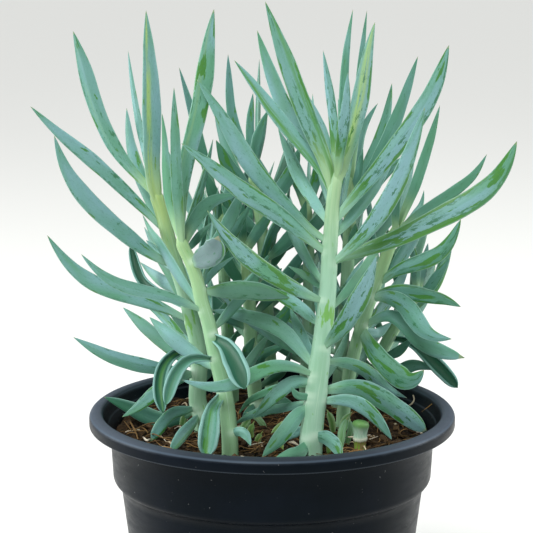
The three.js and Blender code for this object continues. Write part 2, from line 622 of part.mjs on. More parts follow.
// A solid from a closed geometry, and a mesh's geometry from a solid
function solidOf(geometry) {
  const bare = geometry.clone();
  bare.deleteAttribute("normal");
  bare.deleteAttribute("uv");
  const merged = mergeVertices(bare, 1e-4);
  const triangles = [];
  for (let i = 0; i < merged.index.count; i += 3) {
    const [a, b, c] = [merged.index.getX(i), merged.index.getX(i + 1), merged.index.getX(i + 2)];
    if (a !== b && b !== c && c !== a) triangles.push(a, b, c);
  }
  const vertProperties = new Float32Array(merged.attributes.position.array);
  const triVerts = new Uint32Array(triangles);
  return new wasm.Manifold(new wasm.Mesh({ numProp: 3, vertProperties, triVerts }));
}

function geometryOf(solid) {
  const mesh = solid.getMesh();
  const geometry = new THREE.BufferGeometry();
  geometry.setAttribute("position", new THREE.Float32BufferAttribute(mesh.vertProperties, 3));
  geometry.setIndex(Array.from(mesh.triVerts));
  geometry.computeVertexNormals();
  return geometry;
}

// The largest body of a solid, without loose scraps
function largestBody(solid) {
  return solid.decompose().sort((a, b) => b.volume() - a.volume())[0];
}

// The outer body's radius at a height, and the pot's inner radius there
const bodyRadius = (z) => BODY_RADIUS_AT_BASE + BODY_TAPER * z;
const innerRadius = (z) => {
  if (z < COLLAR_BOTTOM) return bodyRadius(z) - WALL;
  const low = bodyRadius(COLLAR_BOTTOM) - WALL;
  return THREE.MathUtils.mapLinear(z, COLLAR_BOTTOM, COLLAR_TOP_INSIDE, low, COLLAR_RADIUS - WALL);
};

// A profile turned round the upright axis
function turned(profile, sides) {
  const points = profile.map(([radius, height]) => new THREE.Vector2(radius, height));
  return new THREE.LatheGeometry(points, sides).rotateX(Math.PI / 2);
}

function potGeometry() {
  const collarFoot = COLLAR_RADIUS - 1.5;
  const step = bodyRadius(COLLAR_BOTTOM);
  const profile = [
    [0, 0], [BODY_RADIUS_AT_BASE - 2, 0], [BODY_RADIUS_AT_BASE, 2],
    [step, COLLAR_BOTTOM], [step + 0.55 * COLLAR_STEP, COLLAR_BOTTOM + 1.4],
    [collarFoot, COLLAR_BOTTOM + 5],
    [COLLAR_RADIUS, RIM_UNDERSIDE - 1], [COLLAR_RADIUS + 1, RIM_UNDERSIDE],
    [RIM_RADIUS - 0.8, RIM_UNDERSIDE], [RIM_RADIUS, RIM_UNDERSIDE + 0.8],
    [RIM_RADIUS, POT_HEIGHT - 3.6], [RIM_RADIUS - 0.9, POT_HEIGHT - 1.6],
    [RIM_RADIUS - 3, POT_HEIGHT - 0.3],
    [RIM_RADIUS - 4.6, POT_HEIGHT], [RIM_INNER_RADIUS + 0.6, POT_HEIGHT - 0.4],
    [RIM_INNER_RADIUS, POT_HEIGHT - 1.4], [COLLAR_RADIUS + 1.2, POT_HEIGHT - 7],
    ...[COLLAR_TOP_INSIDE, COLLAR_BOTTOM, FLOOR_THICKNESS].map((z) => [innerRadius(z), z]),
    [0, FLOOR_THICKNESS],
  ];
  let pot = solidOf(turned(profile, POT_SIDES));
  for (let i = 0; i < DRAIN_HOLES; i += 1) {
    const angle = (i / DRAIN_HOLES) * 2 * Math.PI;
    const depth = 4 * FLOOR_THICKNESS;
    const drill = new THREE.CylinderGeometry(DRAIN_HOLE_RADIUS, DRAIN_HOLE_RADIUS, depth, DRAIN_SIDES);
    drill.rotateX(Math.PI / 2);
    drill.translate(DRAIN_CIRCLE_RADIUS * Math.cos(angle), DRAIN_CIRCLE_RADIUS * Math.sin(angle), 0);
    pot = pot.subtract(solidOf(drill));
  }
  return geometryOf(pot);
}

// The soil's surface: three crossed waves of sizes 1, 0.6 and 0.5, scaled so that together they make its
// relief
function soilHeight(x, y) {
  const slow = Math.sin(0.11 * x + 0.9) * Math.cos(0.13 * y - 0.4);
  const slanted = 0.6 * Math.sin(0.27 * x - 0.21 * y);
  const crossing = 0.5 * Math.cos(0.19 * x + 0.34 * y + 1.3);
  return SOIL_TOP + (SOIL_RELIEF / (1 + 0.6 + 0.5)) * (slow + slanted + crossing);
}

function soilGeometry(lines) {
  const inside = (z) => innerRadius(z) - 2 * GAP;
  const floor = FLOOR_THICKNESS + GAP;
  const profile = [
    [0, floor],
    ...[floor, COLLAR_BOTTOM, SOIL_SHOULDER, SOIL_TOP].map((z) => [inside(z), z]),
    ...SOIL_RING_RADII.map((radius) => [radius, SOIL_TOP]),
    [0, SOIL_TOP],
  ];
  const plug = turned(profile, SOIL_SIDES);
  const position = plug.attributes.position;
  for (let i = 0; i < position.count; i += 1) {
    const [x, y, z] = [position.getX(i), position.getY(i), position.getZ(i)];
    if (z > SOIL_TOP - 1) position.setZ(i, soilHeight(x, y));
  }
  let soil = solidOf(plug);
  for (const line of lines) {
    const { point, radius } = line[0];
    const wide = radius + STEM_HOLE_CLEARANCE;
    const hole = new THREE.CylinderGeometry(wide, wide, POT_HEIGHT - STEM_HOLE_BOTTOM, STEM_SIDES);
    hole.rotateX(Math.PI / 2);
    hole.rotateZ(Math.PI / STEM_SIDES);
    hole.translate(point.x, point.y, (POT_HEIGHT + STEM_HOLE_BOTTOM) / 2);
    soil = soil.subtract(solidOf(hole));
  }
  return geometryOf(largestBody(soil));
}

// Assembly
const lines = Object.fromEntries(Object.entries(STEMS).map(([name, stem]) => [name, stemLine(stem)]));
const leaves = Object.entries(STEMS).flatMap(([name, stem], i) => [
  ...stem.leaves.map((entry) => seenLeaf(name, lines[name], entry)),
  ...hiddenLeaves(name, lines[name], stem, 100 * (i + 1)),
]);
settle(leaves, lines);

const plant = new THREE.Group();

function add(name, geometry, finish) {
  const mesh = new THREE.Mesh(geometry, finish);
  mesh.name = name;
  plant.add(mesh);
}

for (const [name, line] of Object.entries(lines)) {
  const blades = leaves.filter((one) => one.stem === name);
  const joined = blades.reduce(
    (body, one) => body.add(solidOf(bladeGeometry(one))),
    solidOf(stemGeometry(line)),
  );
  add(name, geometryOf(largestBody(joined)), LEAF_GREEN);
}

const stubFoot = picturePoint(OLD_STUB.foot, OLD_STUB.depth);
const stubLine = [{ point: stubFoot, radius: OLD_STUB.radius }];
const stubLength = SOIL_TOP + OLD_STUB.height - STEM_HOLE_BOTTOM - GAP;
const stub = new THREE.CylinderGeometry(0.86 * OLD_STUB.radius, OLD_STUB.radius, stubLength, STEM_SIDES, 3);
stub.rotateX(Math.PI / 2);
stub.rotateZ(Math.PI / STEM_SIDES);
stub.translate(stubFoot.x, stubFoot.y, STEM_HOLE_BOTTOM + GAP + stubLength / 2);
add("old_stub", geometryOf(solidOf(stub)), OLD_WOOD);

add("soil", soilGeometry([...Object.values(lines), stubLine]), SOIL_MIX);
add("pot", potGeometry(), POT_PLASTIC);

export default plant;
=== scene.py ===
# %% [markdown]
# # Potted big blue chalk sticks
# We dress a leafy succulent in a black nursery pot. A packed model already gives every piece its size and
# place, so this notebook loads it as a fixed frame and puts finer surfaces where the plain solids stand.
# Everything is in metres, with +Z up and the origin under the middle of the pot.

# %% Load the frame
import math

import bpy
import numpy as np
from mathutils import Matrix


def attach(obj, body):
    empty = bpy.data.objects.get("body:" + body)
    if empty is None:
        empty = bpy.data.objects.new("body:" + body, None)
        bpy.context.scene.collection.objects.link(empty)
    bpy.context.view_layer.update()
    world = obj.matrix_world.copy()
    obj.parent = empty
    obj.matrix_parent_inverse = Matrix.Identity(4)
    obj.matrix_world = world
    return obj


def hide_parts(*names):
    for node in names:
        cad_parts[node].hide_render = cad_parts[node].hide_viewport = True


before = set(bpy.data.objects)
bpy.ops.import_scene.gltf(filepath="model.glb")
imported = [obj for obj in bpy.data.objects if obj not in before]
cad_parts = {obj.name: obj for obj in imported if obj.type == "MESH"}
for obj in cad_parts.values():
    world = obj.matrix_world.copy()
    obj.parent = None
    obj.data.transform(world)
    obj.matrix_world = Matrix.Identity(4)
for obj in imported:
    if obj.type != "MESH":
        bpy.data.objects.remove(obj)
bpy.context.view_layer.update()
MM = 0.001
print("nodes in the frame:", sorted(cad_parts))

# %% [markdown]
# ## The viewpoint
# The photograph was taken from a little above the rim. Its view is a point that the lens aims at, a
# distance, a downward pitch and a focal length in pixels of a square picture. The same four values also
# turn a place in the picture into a point in space, which is how the leaves find their places later.

# %% Camera
PICTURE = 533
PICTURE_MIDDLE = PICTURE / 2
FOCAL_PIXELS = 1985
SENSOR_WIDTH = 36
FARTHEST_VIEW = 500
EYE_DISTANCE = 1100 * MM
EYE_PITCH = math.radians(11.1)
AIM = np.array([-3.14, 0, 255.84]) * MM
SIGHT = np.array([0, math.cos(EYE_PITCH), -math.sin(EYE_PITCH)])
SIGHT_UP = np.array([0, math.sin(EYE_PITCH), math.cos(EYE_PITCH)])
EYE = AIM - EYE_DISTANCE * SIGHT

lens = bpy.data.cameras.new("camera")
lens.sensor_width = SENSOR_WIDTH
lens.lens = FOCAL_PIXELS / PICTURE * SENSOR_WIDTH
lens.clip_end = FARTHEST_VIEW
camera = bpy.data.objects.new("camera", lens)
camera.location = EYE
camera.rotation_euler = (math.pi / 2 - EYE_PITCH, 0, 0)
bpy.context.scene.collection.objects.link(camera)
bpy.context.scene.camera = camera


def picture_point(place, y):
    """The point at depth y that shows at a place (across, down) in the picture: the ray through that pixel
    is sight + right * dx / f + up * dy / f, followed from the eye until its y is reached."""
    across, down = place
    ray = SIGHT + SIGHT_UP * (PICTURE_MIDDLE - down) / FOCAL_PIXELS
    ray = ray + np.array([across - PICTURE_MIDDLE, 0, 0]) / FOCAL_PIXELS
    return EYE + ray * (y - EYE[1]) / ray[1]


def pixel_size(y):
    """Metres that one pixel covers at depth y."""
    return (y - EYE[1]) / SIGHT[1] / FOCAL_PIXELS


print("the lens is", round(lens.lens, 2), "mm")

# %% [markdown]
# ## Five kinds of leaf
# Seen flat, a leaf widens from its root to its widest place and closes to its tip. Four numbers describe
# that: the width at the root, the share of the length where the leaf is widest, how full it stays beyond,
# and how blunt it ends. Drawing every outline by hand would take far more numbers, and five kinds are
# enough for this plant.

# %% Leaf outlines
# Narrows from its middle to a long point
POINTED = {"root": 0.42, "widest": 0.55, "fullness": 1.8, "bluntness": 0.9}
# Grows at a stem's top, and is broad where it clasps the stem
SHEATHING = {"root": 0.68, "widest": 0.5, "fullness": 1.8, "bluntness": 0.9}
# Is broadest well beyond its middle
SPEARED = {"root": 0.5, "widest": 0.68, "fullness": 1.7, "bluntness": 0.85}
# Stays broad and ends quickly
ENDED = {"root": 0.42, "widest": 0.62, "fullness": 3.2, "bluntness": 0.55}
# Has a round end, and a near face that is a deep channel between two rims
SPOONED = {"root": 0.5, "widest": 0.7, "fullness": 2.6, "bluntness": 0.5}


def half_width(share, outline):
    """A leaf's half width for a width of 1: a sine opens it from the root to the widest place, and
    (1 - beyond^fullness)^bluntness closes it to the tip."""
    root, widest = outline["root"], outline["widest"]
    opening = root + (1 - root) * np.sin(np.minimum(share / widest, 1) * math.pi / 2)
    beyond = np.maximum((share - widest) / (1 - widest), 0)
    return 0.5 * opening * (1 - beyond ** outline["fullness"]) ** outline["bluntness"]


def noted(outline):
    """A function that notes one leaf of this outline: the picture row where it leaves its stem, its width
    in pixels, the lean of its tip towards the viewer in mm, and its places in the picture."""
    def note(row, wide, lean, *way):
        return {"row": row, "wide": wide, "lean": lean * MM, "way": way, "outline": outline}
    return note


leaf, rising, spear, blunt, channelled = map(noted, (POINTED, SHEATHING, SPEARED, ENDED, SPOONED))
print("a pointed leaf's half width at its middle is", round(float(half_width(0.5, POINTED)), 3))

# %% [markdown]
# ## Where stems and leaves run
# A leafy stem is a row of places in the picture, from the soil up, with its depth in millimetres and its
# width in pixels at both ends. Its leaves follow, each from root to tip. Measuring in the picture keeps the
# likeness, and the depths make the plant as round as the real one. Of the leaves on the hidden side only
# their count, the rows between which they grow and their lengths are noted.

# %% The plant, measured
STEMS = {
    "tall_stem": {
        "way": [(311, 440), (314, 410), (318, 380), (321, 350), (325, 320), (328, 290), (329, 260),
                (331, 230), (333, 200), (336, 180), (338, 164)],
        "depth": (-50, -28), "wide": (23, 12),
        "hidden": {"count": 9, "rows": (400, 180), "length": (62, 84)},
        "leaves": [
            leaf(255, 19, 22, (270, 208), (250, 197), (230, 182), (210, 165), (190, 150), (181, 143)),
            leaf(243, 18, 4, (310, 232), (290, 210), (270, 190), (250, 165), (232, 135), (215, 105),
                 (197, 80)),
            leaf(200, 14, -14, (325, 175), (310, 155), (295, 138), (275, 113), (258, 90), (245, 73),
                 (234, 60)),
            rising(184, 19, 3, (322, 150), (312, 130), (300, 100), (288, 65), (277, 35), (265, 1)),
            rising(188, 17, -30, (312, 150), (293, 125), (283, 105), (275, 85), (266, 60), (257, 30)),
            rising(182, 12, -34, (325, 140), (314, 112), (303, 88)),
            rising(176, 10, -18, (334, 125), (331, 100), (327, 75), (323, 50)),
            rising(174, 12, 34, (343, 130), (346, 110), (347, 90), (348, 72)),
            rising(180, 17, 12, (346, 150), (355, 125), (361, 98), (366, 65), (370, 40), (375, 22)),
            spear(225, 19, -8, (370, 178), (390, 155), (405, 135), (422, 112), (435, 90), (443, 65),
                  (449, 45)),
            leaf(267, 18, 28, (365, 235), (380, 215), (395, 190), (408, 160), (418, 130), (425, 107)),
            spear(262, 22, 2, (380, 245), (400, 238), (425, 225), (450, 212), (475, 200), (495, 185),
                  (508, 165), (517, 141)),
            leaf(350, 20, 50, (340, 330), (350, 315), (362, 295), (370, 275), (377, 255)),
            leaf(315, 10, -30, (348, 287), (357, 270), (364, 258)),
            leaf(362, 14, -26, (340, 361), (353, 364), (367, 370), (378, 382), (390, 391), (407, 398)),
            blunt(392, 21, -16, (340, 388), (355, 385), (374, 394), (392, 407), (407, 418), (425, 434)),
            leaf(402, 15, 2, (343, 399), (357, 402), (371, 412), (383, 426), (392, 440)),
            leaf(436, 16, 24, (328, 438), (337, 446), (342, 462)),
            leaf(328, 14, -28, (300, 307), (280, 295), (258, 286)),
            leaf(303, 18, 38, (300, 292), (280, 280), (260, 268), (240, 252), (222, 232), (207, 210)),
            leaf(290, 10, -50, (305, 275), (288, 266)),
            leaf(378, 15, 30, (300, 368), (285, 364), (270, 366), (255, 373), (240, 382), (225, 388),
                 (205, 388), (181, 380)),
            leaf(372, 17, -18, (300, 350), (290, 335), (275, 325), (255, 318), (235, 314), (212, 310)),
            leaf(365, 15, -44, (304, 345), (298, 328), (290, 308)),
            leaf(384, 15, 8, (297, 379), (286, 386), (273, 397), (262, 409), (253, 418)),
            leaf(405, 17, 18, (299, 412), (289, 427), (277, 441), (262, 457)),
            leaf(400, 10, -8, (285, 408), (265, 410), (250, 415), (233, 425)),
            leaf(386, 9, -30, (285, 385), (260, 395), (248, 400), (238, 415)),
            leaf(446, 14, 22, (300, 453), (288, 455), (276, 457)),
            leaf(228, 14, -44, (300, 180), (278, 128)),
            leaf(398, 8, 10, (297, 396), (291, 387)),
            leaf(424, 9, -14, (300, 434), (289, 446), (284, 455)),
        ],
    },
    "front_left_stem": {
        "way": [(230, 436), (228, 415), (226, 400), (220, 372), (214, 350), (208, 320), (201, 300),
                (197, 280), (190, 260), (184, 250), (180, 238), (179, 229)],
        "depth": (-55, -46), "wide": (17, 12),
        "hidden": {"count": 8, "rows": (400, 245), "length": (52, 74)},
        "leaves": [
            rising(238, 9, -20, (173, 216), (168, 200), (166, 170), (165, 140), (162, 113)),
            rising(244, 12, 12, (181, 226), (177, 190), (176, 160), (175, 130), (174, 100), (174, 87)),
            spear(240, 18, -12, (182, 215), (182, 185), (186, 160), (193, 135), (199, 115), (203, 90),
                  (207, 60), (210, 30), (214, 9)),
            rising(242, 15, -34, (190, 228), (200, 212), (212, 200), (240, 194)),
            leaf(252, 10, -46, (203, 232), (213, 222)),
            blunt(264, 25, 30, (200, 259), (209, 256), (216, 249), (218, 239)),
            leaf(312, 13, 34, (185, 303), (165, 295), (140, 291), (115, 284), (95, 270), (81, 254)),
            leaf(292, 20, -8, (230, 290), (250, 290), (290, 298)),
            leaf(290, 8, -44, (212, 273), (225, 262), (235, 256)),
            channelled(360, 14, 30, (199, 357), (187, 359), (177, 370), (170, 386), (166, 404)),
            channelled(336, 24, 42, (226, 345), (233, 357), (239, 370), (245, 388)),
            leaf(434, 11, 16, (240, 431), (247, 435), (251, 446)),
            channelled(392, 22, 24, (212, 408), (209, 430), (206, 456)),
        ],
    },
    "left_stem": {
        "way": [(203, 423), (200, 412), (197, 400), (198, 385), (200, 360), (197, 340), (192, 320),
                (187, 300), (181, 280), (175, 262), (169, 240), (162, 213), (155, 192), (152, 181)],
        "depth": (-6, -12), "wide": (18, 13),
        "hidden": {"count": 10, "rows": (395, 232), "length": (58, 80)},
        "leaves": [
            spear(198, 16, -16, (149, 187), (137, 176), (122, 160), (107, 135), (93, 100), (84, 65),
                  (73, 31)),
            leaf(235, 14, 8, (145, 210), (120, 186), (90, 158), (60, 135), (30, 106)),
            leaf(268, 18, 26, (150, 255), (130, 238), (105, 218), (80, 193), (62, 165), (54, 135)),
            rising(200, 8, -38, (150, 178), (146, 155), (139, 125), (133, 90), (129, 60), (128, 50)),
            rising(204, 19, 12, (155, 190), (152, 170), (152, 150), (152, 120), (151, 80), (148, 40),
                   (146, 10)),
            leaf(275, 10, -24, (158, 252), (146, 240)),
            leaf(322, 16, 10, (160, 306), (140, 299), (115, 293), (95, 285), (75, 272), (60, 255),
                 (47, 235)),
            leaf(350, 10, -34, (180, 335), (165, 318), (150, 305), (135, 297)),
            channelled(310, 12, -46, (142, 283), (137, 270), (133, 255), (131, 245)),
            leaf(295, 13, -56, (165, 283), (150, 272), (140, 262)),
            leaf(375, 15, 26, (155, 368), (135, 364), (110, 357), (90, 347), (73, 337)),
            channelled(350, 15, 34, (178, 351), (166, 360), (160, 374), (159, 396), (163, 412)),
            leaf(371, 14, 22, (165, 385), (150, 397), (135, 410), (122, 417)),
            leaf(406, 18, -14, (175, 421), (160, 421), (145, 415), (125, 405), (104, 397)),
            blunt(408, 13, 24, (184, 412), (172, 416), (163, 428), (157, 440), (152, 450)),
            blunt(414, 13, 46, (190, 428), (182, 438), (175, 449), (171, 456)),
        ],
    },
    "centre_stem": {
        "way": [(257, 412), (255, 395), (253, 370), (251, 345), (250, 320), (249, 290), (247, 265),
                (244, 244)],
        "depth": (26, 22), "wide": (15, 12),
        "hidden": {"count": 11, "rows": (395, 266), "length": (56, 78)},
        "leaves": [
            rising(250, 12, 18, (260, 228), (270, 215), (275, 206)),
            rising(248, 11, -6, (236, 230), (222, 205)),
            rising(246, 10, 6, (242, 230), (243, 203)),
            rising(249, 9, -20, (248, 225), (252, 203)),
            leaf(372, 12, 28, (246, 352), (255, 337)),
            leaf(385, 9, 22, (262, 354), (292, 342)),
            leaf(330, 14, 6, (228, 318), (206, 296), (196, 274)),
            leaf(345, 14, 10, (272, 330), (288, 312), (296, 292)),
            leaf(300, 13, 14, (266, 286), (282, 268)),
            leaf(290, 13, 4, (232, 272), (222, 250), (218, 232)),
            leaf(404, 12, 20, (250, 418), (246, 426), (243, 434)),
            leaf(408, 10, 14, (262, 424), (262, 440)),
        ],
    },
    "upper_centre_stem": {
        "way": [(272, 407), (271, 390), (269, 350), (267, 310), (265, 270), (262, 230), (257, 195),
                (251, 166)],
        "depth": (50, 38), "wide": (14, 11),
        "hidden": {"count": 11, "rows": (370, 185), "length": (60, 84)},
        "leaves": [
            rising(175, 10, -8, (245, 150), (234, 125), (230, 105), (229, 80), (228, 54)),
            rising(168, 9, 4, (250, 145), (250, 120), (253, 93)),
            rising(171, 12, 14, (257, 142), (262, 125), (268, 110)),
            leaf(205, 15, 10, (244, 186), (228, 166), (216, 140)),
            leaf(215, 15, 12, (276, 196), (292, 172), (300, 146)),
            leaf(240, 14, 20, (250, 226), (232, 212), (220, 190)),
            leaf(262, 14, 16, (282, 246), (300, 226), (306, 200)),
            leaf(400, 10, 10, (280, 402), (294, 408)),
        ],
    },
    "shaded_stem": {
        "way": [(338, 407), (339, 395), (341, 360), (344, 320), (347, 280), (349, 240), (350, 205),
                (350, 176)],
        "depth": (48, 16), "wide": (14, 12),
        "hidden": {"count": 11, "rows": (380, 195), "length": (58, 82)},
        "leaves": [
            rising(182, 10, 4, (345, 140), (343, 100), (346, 50), (353, 9)),
            rising(184, 9, -20, (356, 130), (361, 60), (367, 10)),
            rising(190, 10, -36, (362, 130), (370, 115), (378, 103)),
            leaf(212, 13, 6, (368, 175), (380, 155), (392, 130), (402, 105), (410, 80), (418, 56)),
            leaf(203, 12, -18, (370, 158), (382, 135), (388, 110), (392, 83)),
            rising(196, 8, 8, (358, 176), (363, 148)),
            leaf(225, 12, 16, (362, 200), (378, 180), (395, 165), (405, 155)),
            rising(180, 9, -28, (344, 140), (338, 98)),
            leaf(262, 13, 14, (354, 240), (356, 223)),
            leaf(310, 13, 22, (366, 292), (382, 270)),
        ],
    },
    "right_stem": {
        "way": [(343, 427), (345, 400), (350, 370), (356, 345), (362, 325), (368, 305), (376, 283),
                (386, 257), (392, 240), (398, 220)],
        "depth": (4, 16), "wide": (14, 12),
        "hidden": {"count": 9, "rows": (400, 245), "length": (54, 76)},
        "leaves": [
            rising(226, 11, -12, (414, 190), (424, 160), (432, 135), (440, 105)),
            rising(236, 12, 14, (420, 214), (448, 196), (475, 176), (487, 154)),
            rising(240, 9, -34, (410, 222), (422, 205), (424, 190)),
            leaf(285, 16, 12, (400, 268), (420, 263), (440, 255), (452, 240), (461, 219)),
            leaf(300, 16, 18, (385, 291), (405, 291), (425, 296), (445, 299), (461, 307)),
            blunt(328, 16, 14, (380, 316), (392, 313), (402, 320), (412, 335), (425, 345), (440, 352),
                  (461, 357)),
            spear(326, 22, 40, (366, 340), (377, 356), (389, 369), (401, 379), (413, 384), (424, 370)),
            rising(230, 9, 10, (396, 196), (402, 176)),
            leaf(330, 10, -20, (378, 334), (392, 322)),
            leaf(298, 20, 46, (385, 296), (402, 301), (413, 315), (421, 328), (432, 338), (452, 339)),
        ],
    },
    "far_right_stem": {
        "way": [(368, 411), (370, 400), (376, 370), (385, 345), (395, 328), (408, 306), (420, 287)],
        "depth": (38, 44), "wide": (13, 11),
        "hidden": {"count": 9, "rows": (385, 300), "length": (54, 74)},
        "leaves": [
            rising(292, 10, 6, (415, 262), (411, 240)),
            rising(290, 10, -12, (424, 265), (428, 243)),
            rising(295, 11, -26, (432, 270), (433, 250)),
            rising(302, 11, 12, (428, 290), (440, 272), (450, 258)),
            channelled(338, 16, 18, (408, 340), (420, 348), (433, 361), (446, 374), (457, 387)),
            leaf(372, 13, 8, (392, 378), (403, 368), (418, 364), (434, 370)),
            leaf(360, 10, 22, (398, 352), (413, 338)),
        ],
    },
    "back_left_stem": {
        "way": [(232, 403), (231, 390), (229, 350), (226, 310), (224, 270), (222, 235), (220, 205)],
        "depth": (60, 52), "wide": (14, 11),
        "hidden": {"count": 13, "rows": (385, 215), "length": (60, 84)},
        "leaves": [
            rising(212, 10, 10, (207, 170), (191, 108), (179, 67)),
            leaf(225, 13, 14, (214, 196), (204, 170)),
            rising(218, 13, -10, (232, 186), (236, 156)),
        ],
    },
    "back_right_stem": {
        "way": [(306, 401), (307, 385), (308, 345), (309, 305), (309, 265), (308, 230), (306, 198)],
        "depth": (64, 58), "wide": (14, 11),
        "hidden": {"count": 13, "rows": (385, 210), "length": (60, 84)},
        "leaves": [
            rising(206, 12, 8, (296, 176), (290, 150)),
            rising(208, 12, -8, (318, 172), (322, 140)),
        ],
    },
}
print("stems:", len(STEMS), "leaves that show:", sum(len(stem["leaves"]) for stem in STEMS.values()))

# %% [markdown]
# ## Paths
# Stems, leaves and fibres all start as an axis. A list of places could be turned into a Bezier curve, but
# hundreds of them are better worked out: each path is cut into even steps and rounded by averaging each
# point with its neighbours.

# %% Path helpers
UP = np.array([0.0, 0.0, 1.0])


def draw(seed):
    """A seeded draw from 0 to 1: the fraction of a large multiple of the seed's sine."""
    big = math.sin(seed * 12.9898) * 43758.5453
    return big - math.floor(big)


def between(pair, share):
    """The value at a share of the way from the first of a pair to the second."""
    return pair[0] + (pair[1] - pair[0]) * share


def bell(x, width):
    """1 at 0, and less to both sides: exp(-(x / width)^2)."""
    return np.exp(-((x / width) ** 2))


def unit(vector):
    """The same direction at length 1, for one vector or a row of them."""
    return vector / np.linalg.norm(vector, axis=-1, keepdims=True)


def lengths_along(points):
    """How long a path is up to each of its points."""
    return np.concatenate([[0], np.cumsum(np.linalg.norm(np.diff(points, axis=0), axis=1))])


def even_path(points, count, rounds):
    """count points at equal steps of length along a path. Each round makes every inner point half itself
    and a quarter of each neighbour."""
    points = np.array(points)
    lengths = lengths_along(points)
    steps = np.linspace(0, lengths[-1], count)
    row = np.stack([np.interp(steps, lengths, points[:, axis]) for axis in range(3)], axis=1)
    for _ in range(rounds):
        row[1:-1] = 0.5 * row[1:-1] + 0.25 * (row[:-2] + row[2:])
    return row


print("the first three draws:", [round(draw(seed), 3) for seed in (1, 2, 3)])

# %% [markdown]
# ## Axes of stems and leaves
# A leaf that shows follows its places in the picture and leans towards or away from the viewer, mostly
# near its root. Leaves on the hidden side turn by the golden share from leaf to leaf, as real ones do, and
# rise more steeply towards the top.

# %% Axes of stems
def stem_line(stem):
    """A stem's axis points above the soil, with the picture row and the radius at each of them."""
    rows = np.array([place[1] for place in stem["way"]], float)
    share = (rows[0] - rows) / (rows[0] - rows[-1])
    depth = between(stem["depth"], share) * MM
    points = np.array([picture_point(place, y) for place, y in zip(stem["way"], depth)])
    return {"points": points, "rows": rows, "radius": 0.5 * between(stem["wide"], share) * pixel_size(depth)}


def stem_at(line, row):
    """The axis point of a stem at a picture row."""
    return np.array([np.interp(-row, -line["rows"], line["points"][:, axis]) for axis in range(3)])


lines = {name: stem_line(stem) for name, stem in STEMS.items()}
tops = [round(float(line["points"][-1, 2]) / MM) for line in lines.values()]
print("the stems' tops are", min(tops), "to", max(tops), "mm high")

# %% Leaves that show
LEAF_SAMPLES = 17
# How far such a leaf turns its flat side to the viewer, and how early on its length it leans
FACING_VIEWER = 0.72
CHANNEL_FACING_VIEWER = 0.88
LEAN_POWER = 1.5


def seen_leaf(stem_name, line, entry):
    """A leaf that shows, through its places in the picture, with its flat side turned to the viewer."""
    root = stem_at(line, entry["row"])
    steps = lengths_along(np.array([root] + [picture_point(place, root[1]) for place in entry["way"]]))[1:]
    out = 1 - (1 - steps / steps[-1]) ** LEAN_POWER
    points = [picture_point(place, root[1] - entry["lean"] * o) for place, o in zip(entry["way"], out)]
    axis = even_path([root] + points, LEAF_SAMPLES, 3)
    side = unit(np.cross((axis[-1] - root) * [1, 1, 0], UP))
    if side @ SIGHT > 0:
        side = -side
    turn = CHANNEL_FACING_VIEWER if entry["outline"] is SPOONED else FACING_VIEWER
    return {"stem": stem_name, "row": entry["row"], "outline": entry["outline"], "axis": axis,
            "wide": entry["wide"] * pixel_size(root[1]), "face": unit((1 - turn) * side - turn * SIGHT),
            "seen": True}


# %% Hidden leaves
# How far round each next leaf turns in the fan, where the fan starts, and how wide it is in radians
GOLDEN_SHARE = 0.618
FAN_START = 0.3
FAN_WIDTH = 2.1
HIDDEN_STEPS = 8
# How wide these leaves are in mm, and how much wider some are
HIDDEN_WIDTH = 8.2
HIDDEN_WIDTH_MORE = 2


def hidden_leaves(stem_name, line, stem, seed_start):
    """The leaves of a stem's hidden side. Each grows in equal steps, whose tilt from level changes from a
    lower to a higher one, and both are steeper towards the stem's top."""
    hidden, made = stem["hidden"], []
    for i in range(hidden["count"]):
        seed = seed_start + i
        up = (i + 0.5) / hidden["count"]
        heading = math.pi / 2 + ((i * GOLDEN_SHARE + FAN_START) % 1 - 0.5) * FAN_WIDTH
        out = np.array([math.cos(heading), math.sin(heading), 0])
        reach = between(hidden["length"], draw(seed)) * MM
        tilts = 0.1 + 0.65 * up + 0.2 * draw(seed + 0.5), 0.35 + 1.0 * up
        tilt = between(tilts, np.arange(1, HIDDEN_STEPS + 1) / HIDDEN_STEPS)
        steps = (np.cos(tilt)[:, None] * out + np.sin(tilt)[:, None] * UP) * reach / HIDDEN_STEPS
        root = stem_at(line, between(hidden["rows"], up))
        points = np.vstack([root, root + np.cumsum(steps, axis=0)])
        made.append({"stem": stem_name, "row": None, "axis": even_path(points, LEAF_SAMPLES, 1),
                     "wide": (HIDDEN_WIDTH + HIDDEN_WIDTH_MORE * draw(seed + 0.7)) * MM,
                     "face": unit(np.cross(out, UP)), "seen": False, "outline": POINTED})
    return made


leaves = []
for number, (name, stem) in enumerate(STEMS.items(), start=1):
    leaves += [seen_leaf(name, lines[name], entry) for entry in stem["leaves"]]
    leaves += hidden_leaves(name, lines[name], stem, 100 * number)
print("leaves in all:", len(leaves))

# %% [markdown]
# ## Leaves make room for each other
# Fleshy leaves don't pass through one another, they lean aside as they grow. So every two samples that
# come too near push. A leaf that shows moves only along the line of sight, which keeps its place in the
# picture; a hidden one moves whichever way is short. Many rounds of pushing and smoothing settle the whole
# plant, and each round is a handful of array operations.

# %% Samples that are near each other
SEARCH_MARGIN = 12 * MM
# Two leaves of one stem meet at its axis anyway, so these samples of theirs don't count
ROOT_SAMPLES = 6


